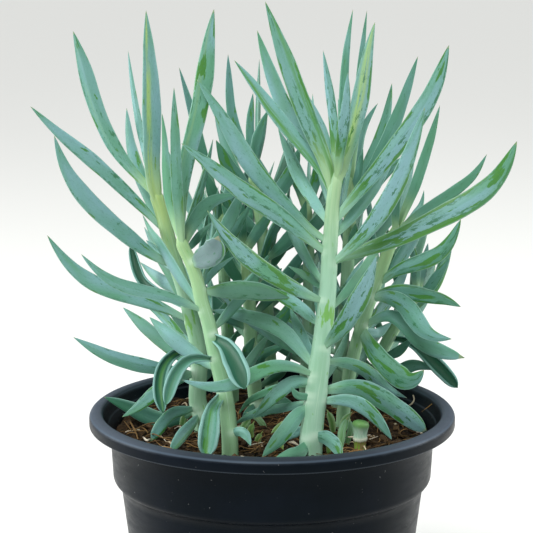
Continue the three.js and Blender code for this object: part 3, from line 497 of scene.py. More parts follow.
def near_samples(axis, radius, stem_of):
    """Index pairs of samples on two leaves that could touch within the next rounds."""
    count = len(axis)
    points = axis[:, 1:].reshape(-1, 3)
    reach = radius[:, 1:].reshape(-1)
    owner = np.repeat(np.arange(count), LEAF_SAMPLES - 1)
    sample = np.tile(np.arange(1, LEAF_SAMPLES), count)
    square = (points**2).sum(axis=1)
    apart = square[:, None] + square[None, :] - 2 * points @ points.T
    limit = (reach[:, None] + reach[None, :] + SEARCH_MARGIN) ** 2
    first, second = np.nonzero((apart < limit) & (owner[:, None] < owner[None, :]))
    same = stem_of[owner[first]] == stem_of[owner[second]]
    keep = ~(same & ((sample[first] < ROOT_SAMPLES) | (sample[second] < ROOT_SAMPLES)))
    first, second = first[keep], second[keep]
    return owner[first], sample[first], owner[second], sample[second]


# %% Pushes between leaves
# The share of what is missing that one round makes up, and the least distance that is divided by
ROUND_SHARE = 0.6
LEAST_DISTANCE = 0.01 * MM


def push_pairs(axis, radius, firm, seen, near, order, push):
    """The pushes between leaves. Of two that show, which one stays in front is settled at first touch."""
    a, i, b, j = near
    apart = axis[a, i] - axis[b, j]
    reach = radius[a, i] + radius[b, j]
    square = (apart**2).sum(axis=1)
    touch = square < reach**2
    a, i, b, j, apart, reach, square = (x[touch] for x in (a, i, b, j, apart, reach, square))
    along = apart @ SIGHT
    pairs, where = np.unique(a * len(axis) + b, return_inverse=True)
    for pair, value in zip(pairs, np.bincount(where, weights=along)):
        order.setdefault(int(pair), 1.0 if value >= 0 else -1.0)
    way = np.array([order[int(pair)] for pair in pairs])[where]
    weight = firm[i] + firm[j]
    both = seen[a] & seen[b]
    missing = np.sqrt(np.maximum(reach**2 - (square - along**2), 0)) - way * along
    move = np.where(both, 0.5 * way * missing / weight, 0)
    np.add.at(push, (a, i), (move * firm[i])[:, None] * SIGHT)
    np.add.at(push, (b, j), (-move * firm[j])[:, None] * SIGHT)
    distance = np.maximum(np.sqrt(square), LEAST_DISTANCE)
    missing = np.where(both, 0, reach - distance)
    share_a = np.where(seen[a], 0, firm[i] / np.where(seen[b], firm[i] + 0.01, weight))
    share_b = np.where(seen[b], 0, firm[j] / np.where(seen[a], firm[j] + 0.01, weight))
    np.add.at(push, (a, i), (ROUND_SHARE * missing * share_a / distance)[:, None] * apart)
    np.add.at(push, (b, j), (-ROUND_SHARE * missing * share_b / distance)[:, None] * apart)


# %% Pushes from stems
def push_off_stems(axis, radius, firm, seen, stem_of, stems, push):
    """The pushes from stems: each sample is held off every segment of every stem but its own."""
    for number, line in enumerate(stems):
        mine = stem_of == number
        for s in range(1, len(line["points"])):
            start, end = line["points"][s - 1], line["points"][s]
            run = end - start
            share = np.clip((axis - start) @ run / (run @ run), 0, 1)
            apart = axis - start - share[..., None] * run
            reach = radius + line["radius"][s]
            square = (apart**2).sum(axis=2)
            touch = (square < reach**2) & ~mine[:, None]
            touch[:, 0] = False
            leaf_at, sample_at = np.nonzero(touch)
            apart, reach, square = apart[touch], reach[touch], square[touch]
            along = apart @ SIGHT
            way = np.where(along >= 0, 1.0, -1.0)
            forward = way * (np.sqrt(np.maximum(reach**2 - (square - along**2), 0)) - way * along)
            distance = np.maximum(np.sqrt(square), LEAST_DISTANCE)
            sideways = apart * ((reach - distance) / distance)[:, None]
            move = np.where(seen[leaf_at][:, None], forward[:, None] * SIGHT, sideways)
            np.add.at(push, (leaf_at, sample_at), ROUND_SHARE * firm[sample_at][:, None] * move)


# %% [markdown]
# ### Rounds of settling
# After each round of pushes the moves are smoothed along every leaf, its root stays, its tip follows, and
# what would sink into the soil or the rim is lifted. Both take the pot's own measures.

# %% Ground under the leaves
SOIL_TOP = 162.5 * MM
SOIL_RELIEF = 2.2 * MM
POT_HEIGHT = 175 * MM
RIM_RADIUS = 102.5 * MM
RIM_INNER_RADIUS = 95.2 * MM
SLOPE_FROM = 84 * MM
RIM_SPARE = 2 * MM


def ground(x, y):
    """The height that a leaf stays above: the soil, then a slope up the pot's wall, then the rim."""
    out = np.hypot(x, y)
    height = np.interp(out, [SLOPE_FROM, RIM_INNER_RADIUS], [SOIL_TOP + SOIL_RELIEF, POT_HEIGHT])
    return np.where(out < RIM_RADIUS + RIM_SPARE, height, 0)


print("over the rim, leaves stay above", round(float(ground(RIM_RADIUS, 0)) / MM, 1), "mm")

# %% Settling
SHARES = np.linspace(0, 1, LEAF_SAMPLES)
SETTLE_ROUNDS = 140
SEARCH_EVERY = 10
# The share of its width that a leaf keeps free, and what is spared besides
SEEN_WIDTH_SHARE = 0.4
HIDDEN_WIDTH_SHARE = 0.54
SETTLE_SPARE = 1 * MM
# The share of its length over which a leaf is held by its root
FIRM_SHARE = 0.25


def settle(leaves, lines):
    """Pushes leaves off each other and off the other stems, smooths the moves, and repeats. Gives how far
    the leaf that moved furthest went."""
    home = np.array([one["axis"] for one in leaves])
    seen = np.array([one["seen"] for one in leaves])
    stem_of = np.array([list(lines).index(one["stem"]) for one in leaves])
    firm = np.minimum(SHARES / FIRM_SHARE, 1)
    part = np.where(seen, SEEN_WIDTH_SHARE, HIDDEN_WIDTH_SHARE)
    wide = np.array([one["wide"] for one in leaves])
    width = np.array([half_width(SHARES, one["outline"]) for one in leaves])
    radius = 2 * (part * wide)[:, None] * width + SETTLE_SPARE
    axis = home.copy()
    order = {}
    for turn in range(SETTLE_ROUNDS):
        if turn % SEARCH_EVERY == 0:
            near = near_samples(axis, radius, stem_of)
        push = np.zeros_like(axis)
        push_pairs(axis, radius, firm, seen, near, order, push)
        push_off_stems(axis, radius, firm, seen, stem_of, list(lines.values()), push)
        moved = axis + push - home
        moved[:, 0] = 0
        moved[:, 1:-1] = 0.5 * moved[:, 1:-1] + 0.25 * (moved[:, :-2] + moved[:, 2:])
        moved[:, -1] = 2 * moved[:, -2] - moved[:, -3]
        axis = home + moved
        low = ground(axis[..., 0], axis[..., 1]) + 0.6 * radius
        axis[:, 3:, 2] += 0.5 * np.maximum(low - axis[..., 2], 0)[:, 3:]
    for one, line in zip(leaves, axis):
        one["axis"] = line
    return float(np.linalg.norm(axis - home, axis=-1).max())


print("the furthest that a leaf moved is", round(settle(leaves, lines) / MM, 1), "mm")

# %% [markdown]
# ## Putting arrays into meshes
# Every surface below is a grid of points over two parameters. One helper turns a grid into faces, closes
# its ends, and keeps extra values per point, such as how far along its leaf a point lies. Materials read
# those values as attributes, so a pattern follows its leaf however that leaf bends.

# %% Rings and faces
def full_turn(count):
    """Even angles round a circle."""
    return np.arange(count) / count * 2 * math.pi


def turned(radius, height, angle):
    """Points (r cos a, r sin a, height), for arrays that spread over each other."""
    return np.stack(np.broadcast_arrays(radius * np.cos(angle), radius * np.sin(angle), height), axis=-1)


def around(angle, side, over):
    """Directions side * cos a + over * sin a round each point of a path."""
    return np.cos(angle)[None, :, None] * side[:, None] + np.sin(angle)[None, :, None] * over[:, None]


def tube_faces(rings, sides, start):
    """Quads over a grid of rings that closes round on itself."""
    ring, side = np.meshgrid(np.arange(rings - 1), np.arange(sides), indexing="ij")
    corner = start + ring * sides + side
    beside = start + ring * sides + (side + 1) % sides
    return np.stack([corner, beside, beside + sides, corner + sides], axis=-1).reshape(-1, 4)


def cap_faces(rings, sides, start, low_pole, high_pole):
    """Triangles from a point at each end to the first and the last ring."""
    side = np.arange(sides)
    after = (side + 1) % sides
    top = start + (rings - 1) * sides
    low = np.stack([np.full(sides, low_pole), start + after, start + side], axis=-1)
    high = np.stack([np.full(sides, high_pole), top + side, top + after], axis=-1)
    return np.concatenate([low, high])


print("a tube of 3 rings with 8 sides has", len(tube_faces(3, 8, 0)), "quads")

# %% [markdown]
# ### Collecting parts
# A stem with its leaves, or a few hundred fibres, become one mesh. Joining that many objects in Blender is
# slow, so their arrays are collected first, and the mesh is made once.

# %% Parts
class Parts:
    """Collects several closed skins for one mesh, each with its points, faces and values."""

    def __init__(self):
        self.points, self.quads, self.triangles, self.values, self.materials = [], [], [], [], []
        self.count = 0

    def add(self, grid, low, high, values, material=0):
        """Adds a grid of rings (rings, sides, 3) that ends in the points low and high. Each value is one
        number, a row or a column of them, a grid, or a grid of vectors."""
        rings, sides = grid.shape[:2]
        poles = self.count + rings * sides
        quads = tube_faces(rings, sides, self.count)
        caps = cap_faces(rings, sides, self.count, poles, poles + 1)
        full = {}
        for key, value in values.items():
            value = value if np.ndim(value) == 3 else np.broadcast_to(value, (rings, sides))
            flat = value.reshape(rings * sides, -1)
            full[key] = np.vstack([flat, flat[:sides].mean(axis=0), flat[-sides:].mean(axis=0)])
        self.points.append(np.vstack([grid.reshape(-1, 3), low, high]))
        self.quads.append(quads)
        self.triangles.append(caps)
        self.values.append(full)
        self.materials.append((len(quads), len(caps), material))
        self.count += rings * sides + 2

    def build(self, name, materials):
        """One object at the origin from everything collected."""
        mesh = bpy.data.meshes.new(name)
        faces = np.vstack(self.quads).tolist() + np.vstack(self.triangles).tolist()
        mesh.from_pydata(np.vstack(self.points).tolist(), [], faces)
        for key in self.values[0]:
            value = np.vstack([part[key] for part in self.values]).astype(np.float32)
            kind, field = ("FLOAT", "value") if value.shape[1] == 1 else ("FLOAT_VECTOR", "vector")
            mesh.attributes.new(key, kind, "POINT").data.foreach_set(field, value.ravel())
        for material in materials:
            mesh.materials.append(material)
        of_quads = np.concatenate([np.full(q, m) for q, _, m in self.materials])
        of_triangles = np.concatenate([np.full(t, m) for _, t, m in self.materials])
        of_faces = np.concatenate([of_quads, of_triangles]).astype(np.int32)
        mesh.polygons.foreach_set("material_index", of_faces)
        mesh.polygons.foreach_set("use_smooth", np.ones(len(faces), bool))
        mesh.update()
        piece = bpy.data.objects.new(name, mesh)
        bpy.context.scene.collection.objects.link(piece)
        return piece


print("a new collection of parts has", Parts().count, "points")

# %% [markdown]
# ## Materials as small node trees
# Leaves, stems, soil and plastic all get their colour and roughness from nodes. Joining nodes by hand is
# slow to read, so a value here stands for a node's output: adding or multiplying values makes the node that
# does it, and a colour is laid over another by a factor. Each material names its colours in a small table.

# %% Colours and values
def srgb(red, green, blue):
    """A colour written as 0 to 255 in a paint program, turned into the linear values that light uses."""
    channels = np.array([red, green, blue]) / 255
    linear = np.where(channels < 0.04045, channels / 12.92, ((channels + 0.055) / 1.055) ** 2.4)
    return (*linear.tolist(), 1)


class Value:
    """One output of a node. What is done with it adds the node that does it."""

    def __init__(self, nodes, socket):
        self.nodes, self.socket = nodes, socket

    def __add__(self, other):
        return self.nodes.worked("ADD", self, other)

    def __mul__(self, other):
        return self.nodes.worked("MULTIPLY", self, other)

    def __abs__(self):
        return self.nodes.worked("ABSOLUTE", self)

    def ramp(self, low, high, first=0.0, last=1.0, kind="SMOOTHSTEP"):
        """first below low and last above high, with a smooth step between. low may be above high."""
        inputs = {0: self, 1: low, 2: high, 3: first, 4: last}
        return self.nodes.add("ShaderNodeMapRange", inputs, interpolation_type=kind)


print("middle grey in linear light is", round(srgb(128, 128, 128)[0], 3))

# %% [markdown]
# ### A material and its nodes
# One object holds a material's tree, and knows the nodes that every skin below needs: noise, values kept on
# the points, layers of colour, and bump.

# %% Node trees
class Nodes:
    """A new material, its named colours and the nodes added to it."""

    def __init__(self, name, colours):
        self.material = bpy.data.materials.new(name)
        self.material.use_nodes = True
        self.tree = self.material.node_tree
        self.shader = self.tree.nodes["Principled BSDF"]
        self.colours = {key: srgb(*colour) for key, colour in colours.items()}

    def fill(self, socket, value):
        """Joins a value to a socket, or writes a constant or a named colour there."""
        if isinstance(value, Value):
            self.tree.links.new(value.socket, socket)
        else:
            socket.default_value = self.colours[value] if isinstance(value, str) else value

    def add(self, kind, inputs, output=0, **settings):
        """A node with its settings and inputs, as the value of one of its outputs."""
        made = self.tree.nodes.new(kind)
        for key, value in settings.items():
            setattr(made, key, value)
        for key, value in inputs.items():
            self.fill(made.inputs[key], value)
        return Value(self, made.outputs[output])

    def worked(self, operation, *values):
        """A sum, a product or another result of a math node."""
        return self.add("ShaderNodeMath", dict(enumerate(values)), operation=operation)

    def read(self, name, output="Fac"):
        """A value kept on the mesh's points."""
        return self.add("ShaderNodeAttribute", {}, output, attribute_name=name, attribute_type="GEOMETRY")

    def place(self):
        """The point's own place in metres."""
        return self.add("ShaderNodeTexCoord", {}, "Object")

    def noise(self, vector, scale, detail=2.0, roughness=0.5):
        """Smooth noise from 0 to 1, with one scale, or one for each axis, which stretches it."""
        if isinstance(scale, tuple):
            vector = self.add("ShaderNodeMapping", {"Vector": vector, "Scale": scale})
            scale = 1.0
        inputs = {"Vector": vector, "Scale": scale, "Detail": detail, "Roughness": roughness}
        return self.add("ShaderNodeTexNoise", inputs)

    def layered(self, colour, *layers):
        """A colour with others laid over it in turn, each by its factor from 0 to 1."""
        for factor, over in layers:
            colour = self.add("ShaderNodeMix", {0: factor, 6: colour, 7: over}, 2, data_type="RGBA")
        return colour

    def bump(self, height, distance, strength):
        """Small relief from a height value, in metres of distance."""
        made = self.add("ShaderNodeBump", {"Height": height, "Distance": distance, "Strength": strength})
        self.fill(self.shader.inputs["Normal"], made)

    def finish(self, colour, roughness, specular=0.5):
        """The material, with its colour, its roughness and how much it reflects."""
        looks = {"Base Color": colour, "Roughness": roughness, "Specular IOR Level": specular}
        for name, value in looks.items():
            self.fill(self.shader.inputs[name], value)
        return self.material


print("a tree can", [name for name in vars(Nodes) if not name.startswith("_")])

# %% [markdown]
# ### The leaf's skin
# The leaf is green, under a bloom of fine wax that makes it look blue-grey. Where something rubbed the
# leaf, the wax is gone: fine mottles along the ridge and the edges, and here and there a long blotch of
# saturated green. So the material starts with the bloom's colour, lets each leaf differ a little, paints
# the face on one side of its ridge darker and greener as painted shade, paints leaves deep in the plant
# darker as painted shade, and breaks the bloom with stretched noise. Towards the root it turns to the
# stem's mint, or to yellow near a young top. The bed of a channel is deep green, partly its own colour and
# partly painted shade that deepens with the channel's depth, and its thick rims are grey-green. Edges are a
# paler line, and the last millimetres of the tip are dry. A photographed texture would show one leaf only,
# while noise in each leaf's own coordinates marks every leaf anew.

# %% Leaf material
MARKS = ("share", "side", "inside", "tint", "rub", "shade", "facet", "young", "dust", "stripe", "sap")
# Among these, the darker face of a ridge and the shaded colour are painted shade, and the bed's greens are
# partly painted shade
LEAF_COLOURS = {
    "green bloom": (90, 148, 116), "blue bloom": (116, 166, 160), "thin bloom": (80, 142, 102),
    "thick wax": (128, 170, 178), "painted shaded face": (84, 142, 108), "shaded": (34, 98, 72),
    "dusty": (96, 116, 122), "pale stripe": (160, 192, 108), "mottle": (46, 106, 66),
    "blotch": (62, 122, 36), "fleck": (72, 128, 104), "root": (150, 194, 158),
    "yellow root": (172, 192, 100), "bed": (46, 104, 86),
    "bed in deep painted shade": (26, 78, 54), "deep stripe": (76, 136, 50), "edge": (152, 194, 180), "rim": (118, 164, 158),
    "dry tip": (156, 152, 78),
}


def leaf_material():
    """The bloom, its tones and its painted shade, then what breaks it, then the places with a colour of their
    own.
    """
    nodes = Nodes("leaf_skin", LEAF_COLOURS)
    mark = nodes.read("mark", "Vector")
    share, side, inside, tint, rub, shade, facet, young, dust, stripe, sap = map(nodes.read, MARKS)
    cloud = nodes.noise(mark, (150, 35, 1), 3).ramp(0.35, 0.65)
    wax = nodes.noise(mark, (70, 20, 1), 2).ramp(0.45, 0.66)
    # Painted shade: one face of a ridge is painted darker and greener, and the shaded colour darkens leaves
    # by their shade value
    bloom = nodes.layered(
        "green bloom", (tint, "blue bloom"), (cloud * 0.55, "thin bloom"), (wax * 0.75, "thick wax"),
        (facet.ramp(-0.06, 0.06) * 0.35, "painted shaded face"), (shade * 0.85, "shaded"), (dust, "dusty"))
    away = abs(side)
    favour = abs(facet).ramp(0.3, 0.0) * 0.05 + away.ramp(0.55, 0.9) * (rub * 0.08 + 0.04)
    grain = nodes.noise(mark, (1500, 500, 1), 3, 0.6)
    ragged = grain * 0.16
    blotch = nodes.noise(mark, (230, 48, 1), 2) + rub * 0.13
    bare = (blotch + favour + ragged).ramp(0.8, 0.825)
    mottle = nodes.noise(mark, (620, 170, 1), 4, 0.65) + rub * 0.1
    fine = (mottle + favour * 1.5 + ragged).ramp(0.735, 0.785)
    cluster = nodes.noise(mark, (170, 30, 1), 2).ramp(0.4, 0.6)
    fleck = nodes.noise(mark, (1900, 620, 1), 2).ramp(0.58, 0.68)
    streak = nodes.noise(mark, (800, 45, 1), 3).ramp(0.3, 0.55)
    skin = nodes.layered(
        bloom, (stripe.ramp(0.0, 1.0) * streak * 0.95, "pale stripe"), (fine * cluster * 0.85, "mottle"),
        (bare * 0.9, "blotch"), (fleck * 0.4, "fleck"),
        (share.ramp(0.0, young * 0.34, 1.0, 0.0) * 0.9, nodes.layered("root", (sap, "yellow root"))),
        # The bed's green is partly its own colour and partly painted shade, darkest where the channel is
        # deepest
        (inside.ramp(0.08, 0.4), nodes.layered("bed", (inside, "bed in deep painted shade"))),
        (stripe.ramp(0.0, -1.0) * streak * 0.9, "deep stripe"), (away.ramp(0.86, 0.97) * 0.45, "edge"),
        (away.ramp(1.0, 1.3) * 0.7, "rim"), (share.ramp(0.975, 0.998) * 0.75, "dry tip"))
    nodes.bump(grain * 0.6 + bare * -0.25, 0.4 * MM, 0.6)
    return nodes.finish(skin, bare.ramp(0.0, 1.0, 0.56, 0.36, "LINEAR"), 0.4)


LEAF_SKIN = leaf_material()
print("the leaf's skin has", len(LEAF_SKIN.node_tree.nodes), "nodes")

# %% [markdown]
# ### The stem's skin
# A stem is a paler mint green than its leaves and yellower towards its young top. Faint streaks and
# threads run along it, a light scar marks where each leaf leaves it, and the foot is a little corky. In a
# few places the bloom is rubbed off, which shows as ragged green.

# %% Stem material
STEM_COLOURS = {
    "green": (138, 180, 136), "mint": (148, 190, 164), "young": (172, 192, 100), "streak": (112, 164, 122),
    "thread": (176, 210, 184), "shaded": (104, 144, 82), "rubbed": (104, 164, 62), "scar": (196, 220, 200),
    "cork": (134, 136, 90),
}


def stem_material():
    """Mint green, then what lies along the stem, then the marks on it."""
    nodes = Nodes("stem_skin", STEM_COLOURS)
    mark = nodes.read("mark", "Vector")
    names = ("share", "inside", "tint", "shade", "young", "rub")
    share, scar, tint, shade, young, rub = map(nodes.read, names)
    streak = nodes.noise(mark, (420, 30, 1), 3).ramp(0.38, 0.68)
    thread = nodes.noise(mark, (1500, 24, 1), 2).ramp(0.6, 0.68)
    rubbed = (nodes.noise(mark, (620, 130, 1), 3) + rub).ramp(0.66, 0.76)
    # The shaded colour below is painted shade, stronger on stems further back
    body = nodes.layered(
        "green", (tint, "mint"), (share.ramp(0.64, 0.97) * young, "young"), (streak * 0.35, "streak"),
        (thread * 0.4, "thread"), (shade * 0.6, "shaded"), (rubbed * 0.85, "rubbed"), (scar * 0.75, "scar"),
        (share.ramp(0.16, 0.09) * 0.35, "cork"))
    nodes.bump(nodes.noise(mark, (700, 70, 1), 3) + scar * 0.7, 0.3 * MM, 0.5)
    return nodes.finish(body, 0.5, 0.38)


STEM_SKIN = stem_material()
print("the stem's skin has", len(STEM_SKIN.node_tree.nodes), "nodes")

# %% [markdown]
# ## What single leaves look like
# Most leaves take their looks from seeded draws. Those in front are noted one by one, by the picture row
# where they leave their stem, because a viewer knows the plant by them: how rubbed and how dusty they are,
# which have a long stripe bare of bloom, which get painted shade, and which channel beds get less painted
# shade.

# %% Leaves in front
# How rubbed and how dusty a leaf is
LOOKS = {
    "tall_stem": {
        303: (1.05, 0), 255: (0.9, 0), 243: (0.7, 0), 372: (0.1, 0.1), 378: (0.25, 0), 384: (0.6, 0),
        405: (0.45, 0), 402: (0.3, 0), 392: (0.5, 0), 362: (0.2, 0), 350: (0.7, 0.1), 262: (1.2, 0),
        225: (0.8, 0), 267: (0.6, 0), 180: (0.4, 0), 184: (0.8, 0),
    },
    "front_left_stem": {264: (0.5, 0.85), 292: (0.9, 0.25), 336: (0.2, 0), 392: (1.0, 0)},
    "right_stem": {326: (1.1, 0.1), 298: (0.4, 0), 285: (1.1, 0), 300: (1.1, 0)},
    "left_stem": {322: (0.4, 0), 268: (0.3, 0), 235: (0.6, 0), 198: (0.5, 0)},
}
# A long stripe: how strong, pale above 0 and deep green below it, where it lies between the edges from
# -1 to 1, and how wide it is
STRIPES = {
    "tall_stem": {
        184: (-0.8, -0.5, 0.4), 180: (0.8, 0.05, 0.6), 200: (-1.0, 0.45, 0.5), 243: (-0.3, -0.6, 0.3),
        267: (-0.5, -0.7, 0.3), 262: (-0.5, -0.8, 0.35),
    },
    "front_left_stem": {
        240: (0.35, 0.5, 0.3), 292: (-0.4, 0.7, 0.3), 392: (-1.0, -0.1, 0.3), 360: (-0.4, 0.1, 0.2),
    },
    "left_stem": {
        204: (1.0, 0.35, 0.24), 198: (0.25, 0.4, 0.3), 414: (-0.8, 0.6, 0.4), 350: (-0.7, 0.1, 0.3),
        408: (-0.5, 0.75, 0.3),
    },
}
# Low leaves that get extra painted shade, and channels whose bed gets less painted shade and looks light
SHADED_LEAVES = {"left_stem": {408: 0.35, 414: 0.25, 406: 0.6}}
BEDS_WITH_LESS_PAINTED_SHADE = {"front_left_stem": {392: 0.15, 360: 0.3}, "left_stem": {350: 0.6}}


def special(table, one, usual):
    """What a table says of one leaf, or else the usual value."""
    return table.get(one["stem"], {}).get(one["row"], usual)


print("leaves with looks of their own:", sum(len(rows) for rows in LOOKS.values()))

# %% [markdown]
# ## Across a blade
# A chalk stick's leaf is long and fleshy. Cut across, it is two half ellipses, the back one deeper. Its near
# face has a shallow groove, or two flats that meet in a ridge, or, on some low leaves, it is a deep channel
# between thick rounded rims. A flat strip would lose the edge light that makes the leaves look fleshy, so
# the section is a closed ring of points.

# %% Sections
LEAF_SIDES = 20
# For a half width of 1, like the other measures of a section
LEAF_THICKNESS = 0.34
# The share of the thickness that lies in front of the edges, and the share of leaves that have a ridge
LEAF_FRONT_SHARE = 0.38
RIDGED_SHARE = 0.4
RIDGE_HEIGHT = 0.24
# Depth and width of the groove in front and of the keel behind
GROOVE = (0.14, 0.4)
KEEL = (0.05, 0.15)
CHANNEL_WALL = 0.32
CHANNEL_DEPTH = 0.85
# How high a channel's rims rise, for a wall of 1
CHANNEL_RIM = 0.55
# How far the inner and the outer arc of a channel stay off its rims, in radians
INNER_MARGIN = 0.12
OUTER_MARGIN = 0.05


def flat_section(seed):
    """Across and out for a half width of 1: a lens (1 - u^2)^0.7, thin in front and keeled behind, drawn a
    little to one side. The front is two flats that meet in a ridge, or has a groove. The last two values
    are the depth inside a channel and the signed distance from the ridge."""
    angle = full_turn(LEAF_SIDES)
    u = np.cos(angle)
    line = 0.5 * (draw(seed + 0.25) - 0.5)
    across = line + u * np.where(u > 0, 1 - line, 1 + line)
    lens = 2 * LEAF_THICKNESS * np.maximum(1 - u**2, 0) ** 0.7
    ridged = draw(seed + 0.2) < RIDGED_SHARE
    groove = LEAF_FRONT_SHARE * lens - GROOVE[0] * bell(u, GROOVE[1])
    front = RIDGE_HEIGHT * (1 - np.abs(u)) if ridged else groove
    back = -(1 - LEAF_FRONT_SHARE) * lens - KEEL[0] * bell(u, KEEL[1])
    way = 1 if draw(seed + 0.35) < 0.5 else -1
    in_front = np.sin(angle) >= 0
    facet = np.where(in_front, u * way, -1) if ridged else -np.ones(LEAF_SIDES)
    return across, np.where(in_front, front, back), np.zeros(LEAF_SIDES), facet


def channel_section():
    """A channel: the inner arc from rim to rim, then the outer arc back, both t -> (cos t, -sin t * depth),
    joined by round rims. It gives the same four values."""
    arc_sides = LEAF_SIDES // 2 - 1
    inner = np.linspace(INNER_MARGIN, math.pi - INNER_MARGIN, arc_sides)
    outer = np.linspace(math.pi + OUTER_MARGIN, 2 * math.pi - OUTER_MARGIN, arc_sides)
    rim, height = 1 - CHANNEL_WALL / 2, CHANNEL_WALL * CHANNEL_RIM
    across = np.concatenate([(1 - CHANNEL_WALL) * np.cos(inner), [-rim], np.cos(outer), [rim]])
    bed = -(CHANNEL_DEPTH - CHANNEL_WALL) * np.sin(inner)
    out = np.concatenate([bed, [height], CHANNEL_DEPTH * np.sin(outer), [height]])
    inside = np.concatenate([np.sin(inner), [0], np.zeros(arc_sides), [0]])
    return across, out, inside, -np.ones(LEAF_SIDES)


print("a channel is", CHANNEL_DEPTH, "of its half width deep")

# %% [markdown]
# ## Along a blade
# Along the leaf, rings of that section follow its axis, a little twisted and a little wavy at the edges. The
# neck is pinched. Leaves at a stem's top clasp it: their roots start at its skin and run a little way down
# it, so no root looks stuck in. A leaf could be sculpted once and copied, but no two bend alike, so each
# blade is one array expression of its own.

# %% Rings along a blade
LEAF_RINGS = 32
# Even shares of the length, a little denser towards the tip, and two more rings near the root
RING_SHARES = np.insert(1 - (1 - np.linspace(0, 1, LEAF_RINGS + 1)[:-1]) ** 1.25, 1, (0.01, 0.022))
# By outline: how deep and over what share of the length the neck is pinched, how much thicker and over what
# share the root is, how far the tip stands out, and how far the stem's colour runs up the leaf
for outline in (POINTED, SHEATHING, SPEARED, ENDED, SPOONED):
    outline.update(pinch=(0.3, 0.2), flesh=(1.0, 0.05), spike=0, young=0.75)
SHEATHING.update(pinch=(0.75, 0.045), flesh=(2.4, 0.13), young=1.0)
ENDED.update(spike=2.4 * MM)
SPOONED.update(pinch=(0.36, 0.45), spike=0.72 * MM)


def along_axis(axis, shares):
    """Points on a leaf's axis at any shares of its length, on the smooth cubic through its samples."""
    place = np.clip(shares, 0, 1) * (len(axis) - 1)
    k = np.minimum(place.astype(int), len(axis) - 2)
    t = (place - k)[:, None]
    padded = np.vstack([2 * axis[0] - axis[1], axis, 2 * axis[-1] - axis[-2]])
    p0, p1, p2, p3 = padded[k], padded[k + 1], padded[k + 2], padded[k + 3]
    return 0.5 * (2 * p1 + (p2 - p0) * t + (2 * p0 - 5 * p1 + 4 * p2 - p3) * t**2
                  + (3 * p1 - p0 - 3 * p2 + p3) * t**3)


print("a blade has", len(RING_SHARES), "rings")

# %% Roots that clasp a stem
# How far out of the stem's axis a clasping leaf starts, as a share of the stem's radius, and over what share
# of its length. Then how far its root runs down the stem, and over what share
CLASP = 0.5
CLASP_REACH = 0.12
TAIL = 11 * MM
TAIL_REACH = 0.022


def clasped(one):
    """How far each ring of a blade moves out to the stem's skin and down along it, both by laws
    exp(-share / reach). Only the leaves at a stem's top clasp it."""
    if one["outline"] is not SHEATHING:
        return 0
    line = lines[one["stem"]]
    radius = np.interp(-one["row"], -line["rows"], line["radius"])
    away = one["axis"][6] - one["axis"][0]
    away[2] = 0
    down = unit(stem_at(line, one["row"] + 10) - stem_at(line, one["row"]))
    return (CLASP * radius * unit(away) * np.exp(-RING_SHARES / CLASP_REACH)[:, None]
            + TAIL * down * np.exp(-RING_SHARES / TAIL_REACH)[:, None])


# %% Directions and widths of rings
# The most that a leaf twists from root to tip, in radians to both sides together
TWIST = 0.5
# How far before and after a ring its direction is taken, as a share of the length
AHEAD_SHARE = 0.03


def ring_frames(one, seed):
    """The middle of each ring, the way ahead, and the twisted directions across the blade and out of it."""
    centre = along_axis(one["axis"], RING_SHARES) + clasped(one)
    before = along_axis(one["axis"], np.maximum(RING_SHARES - AHEAD_SHARE, 0))
    ahead = unit(along_axis(one["axis"], np.minimum(RING_SHARES + AHEAD_SHARE, 1)) - before)
    across = unit(np.cross(ahead, one["face"]))
    out = np.cross(across, ahead)
    twist = ((draw(seed + 0.1) - 0.5) * TWIST * RING_SHARES)[:, None]
    return (centre, ahead, np.cos(twist) * across + np.sin(twist) * out,
            np.cos(twist) * out - np.sin(twist) * across)


def half_widths(one, seed):
    """The blade's half width at each ring: its outline, waved by a slow and a quick sine, and pinched."""
    sway = 0.012 if one["outline"] is SPOONED else 0.03
    wave = 1 + sway * np.sin(RING_SHARES * (11 + 6 * draw(seed + 0.3)) + 6 * draw(seed + 0.4))
    wave += 0.015 * np.sin(RING_SHARES * (26 + 9 * draw(seed + 0.55)) + 6 * draw(seed + 0.65))
    pinch, reach = one["outline"]["pinch"]
    neck = 1 - pinch * bell(RING_SHARES, reach)
    return one["wide"] * half_width(RING_SHARES, one["outline"]) * wave * neck


print("at most a leaf twists by", round(math.degrees(TWIST / 2), 1), "degrees to one side")

# %% [markdown]
# ### One blade with its values
# The rings become a grid, and every point gets the values that the leaf's skin reads. Its place along and
# across the leaf in metres is one of them, so the marks keep their real size on short and long leaves.

# %% Blade
# How far a channel lies in front of its axis, for a half width of 1, and over what share it gets there
CHANNEL_LIFT = 0.3
CHANNEL_LIFT_SHARE = 0.15
# A channel's tip is not dry, and its rims count as further out than any edge
CHANNEL_SHARE = 0.97
CHANNEL_SIDE = 1.5


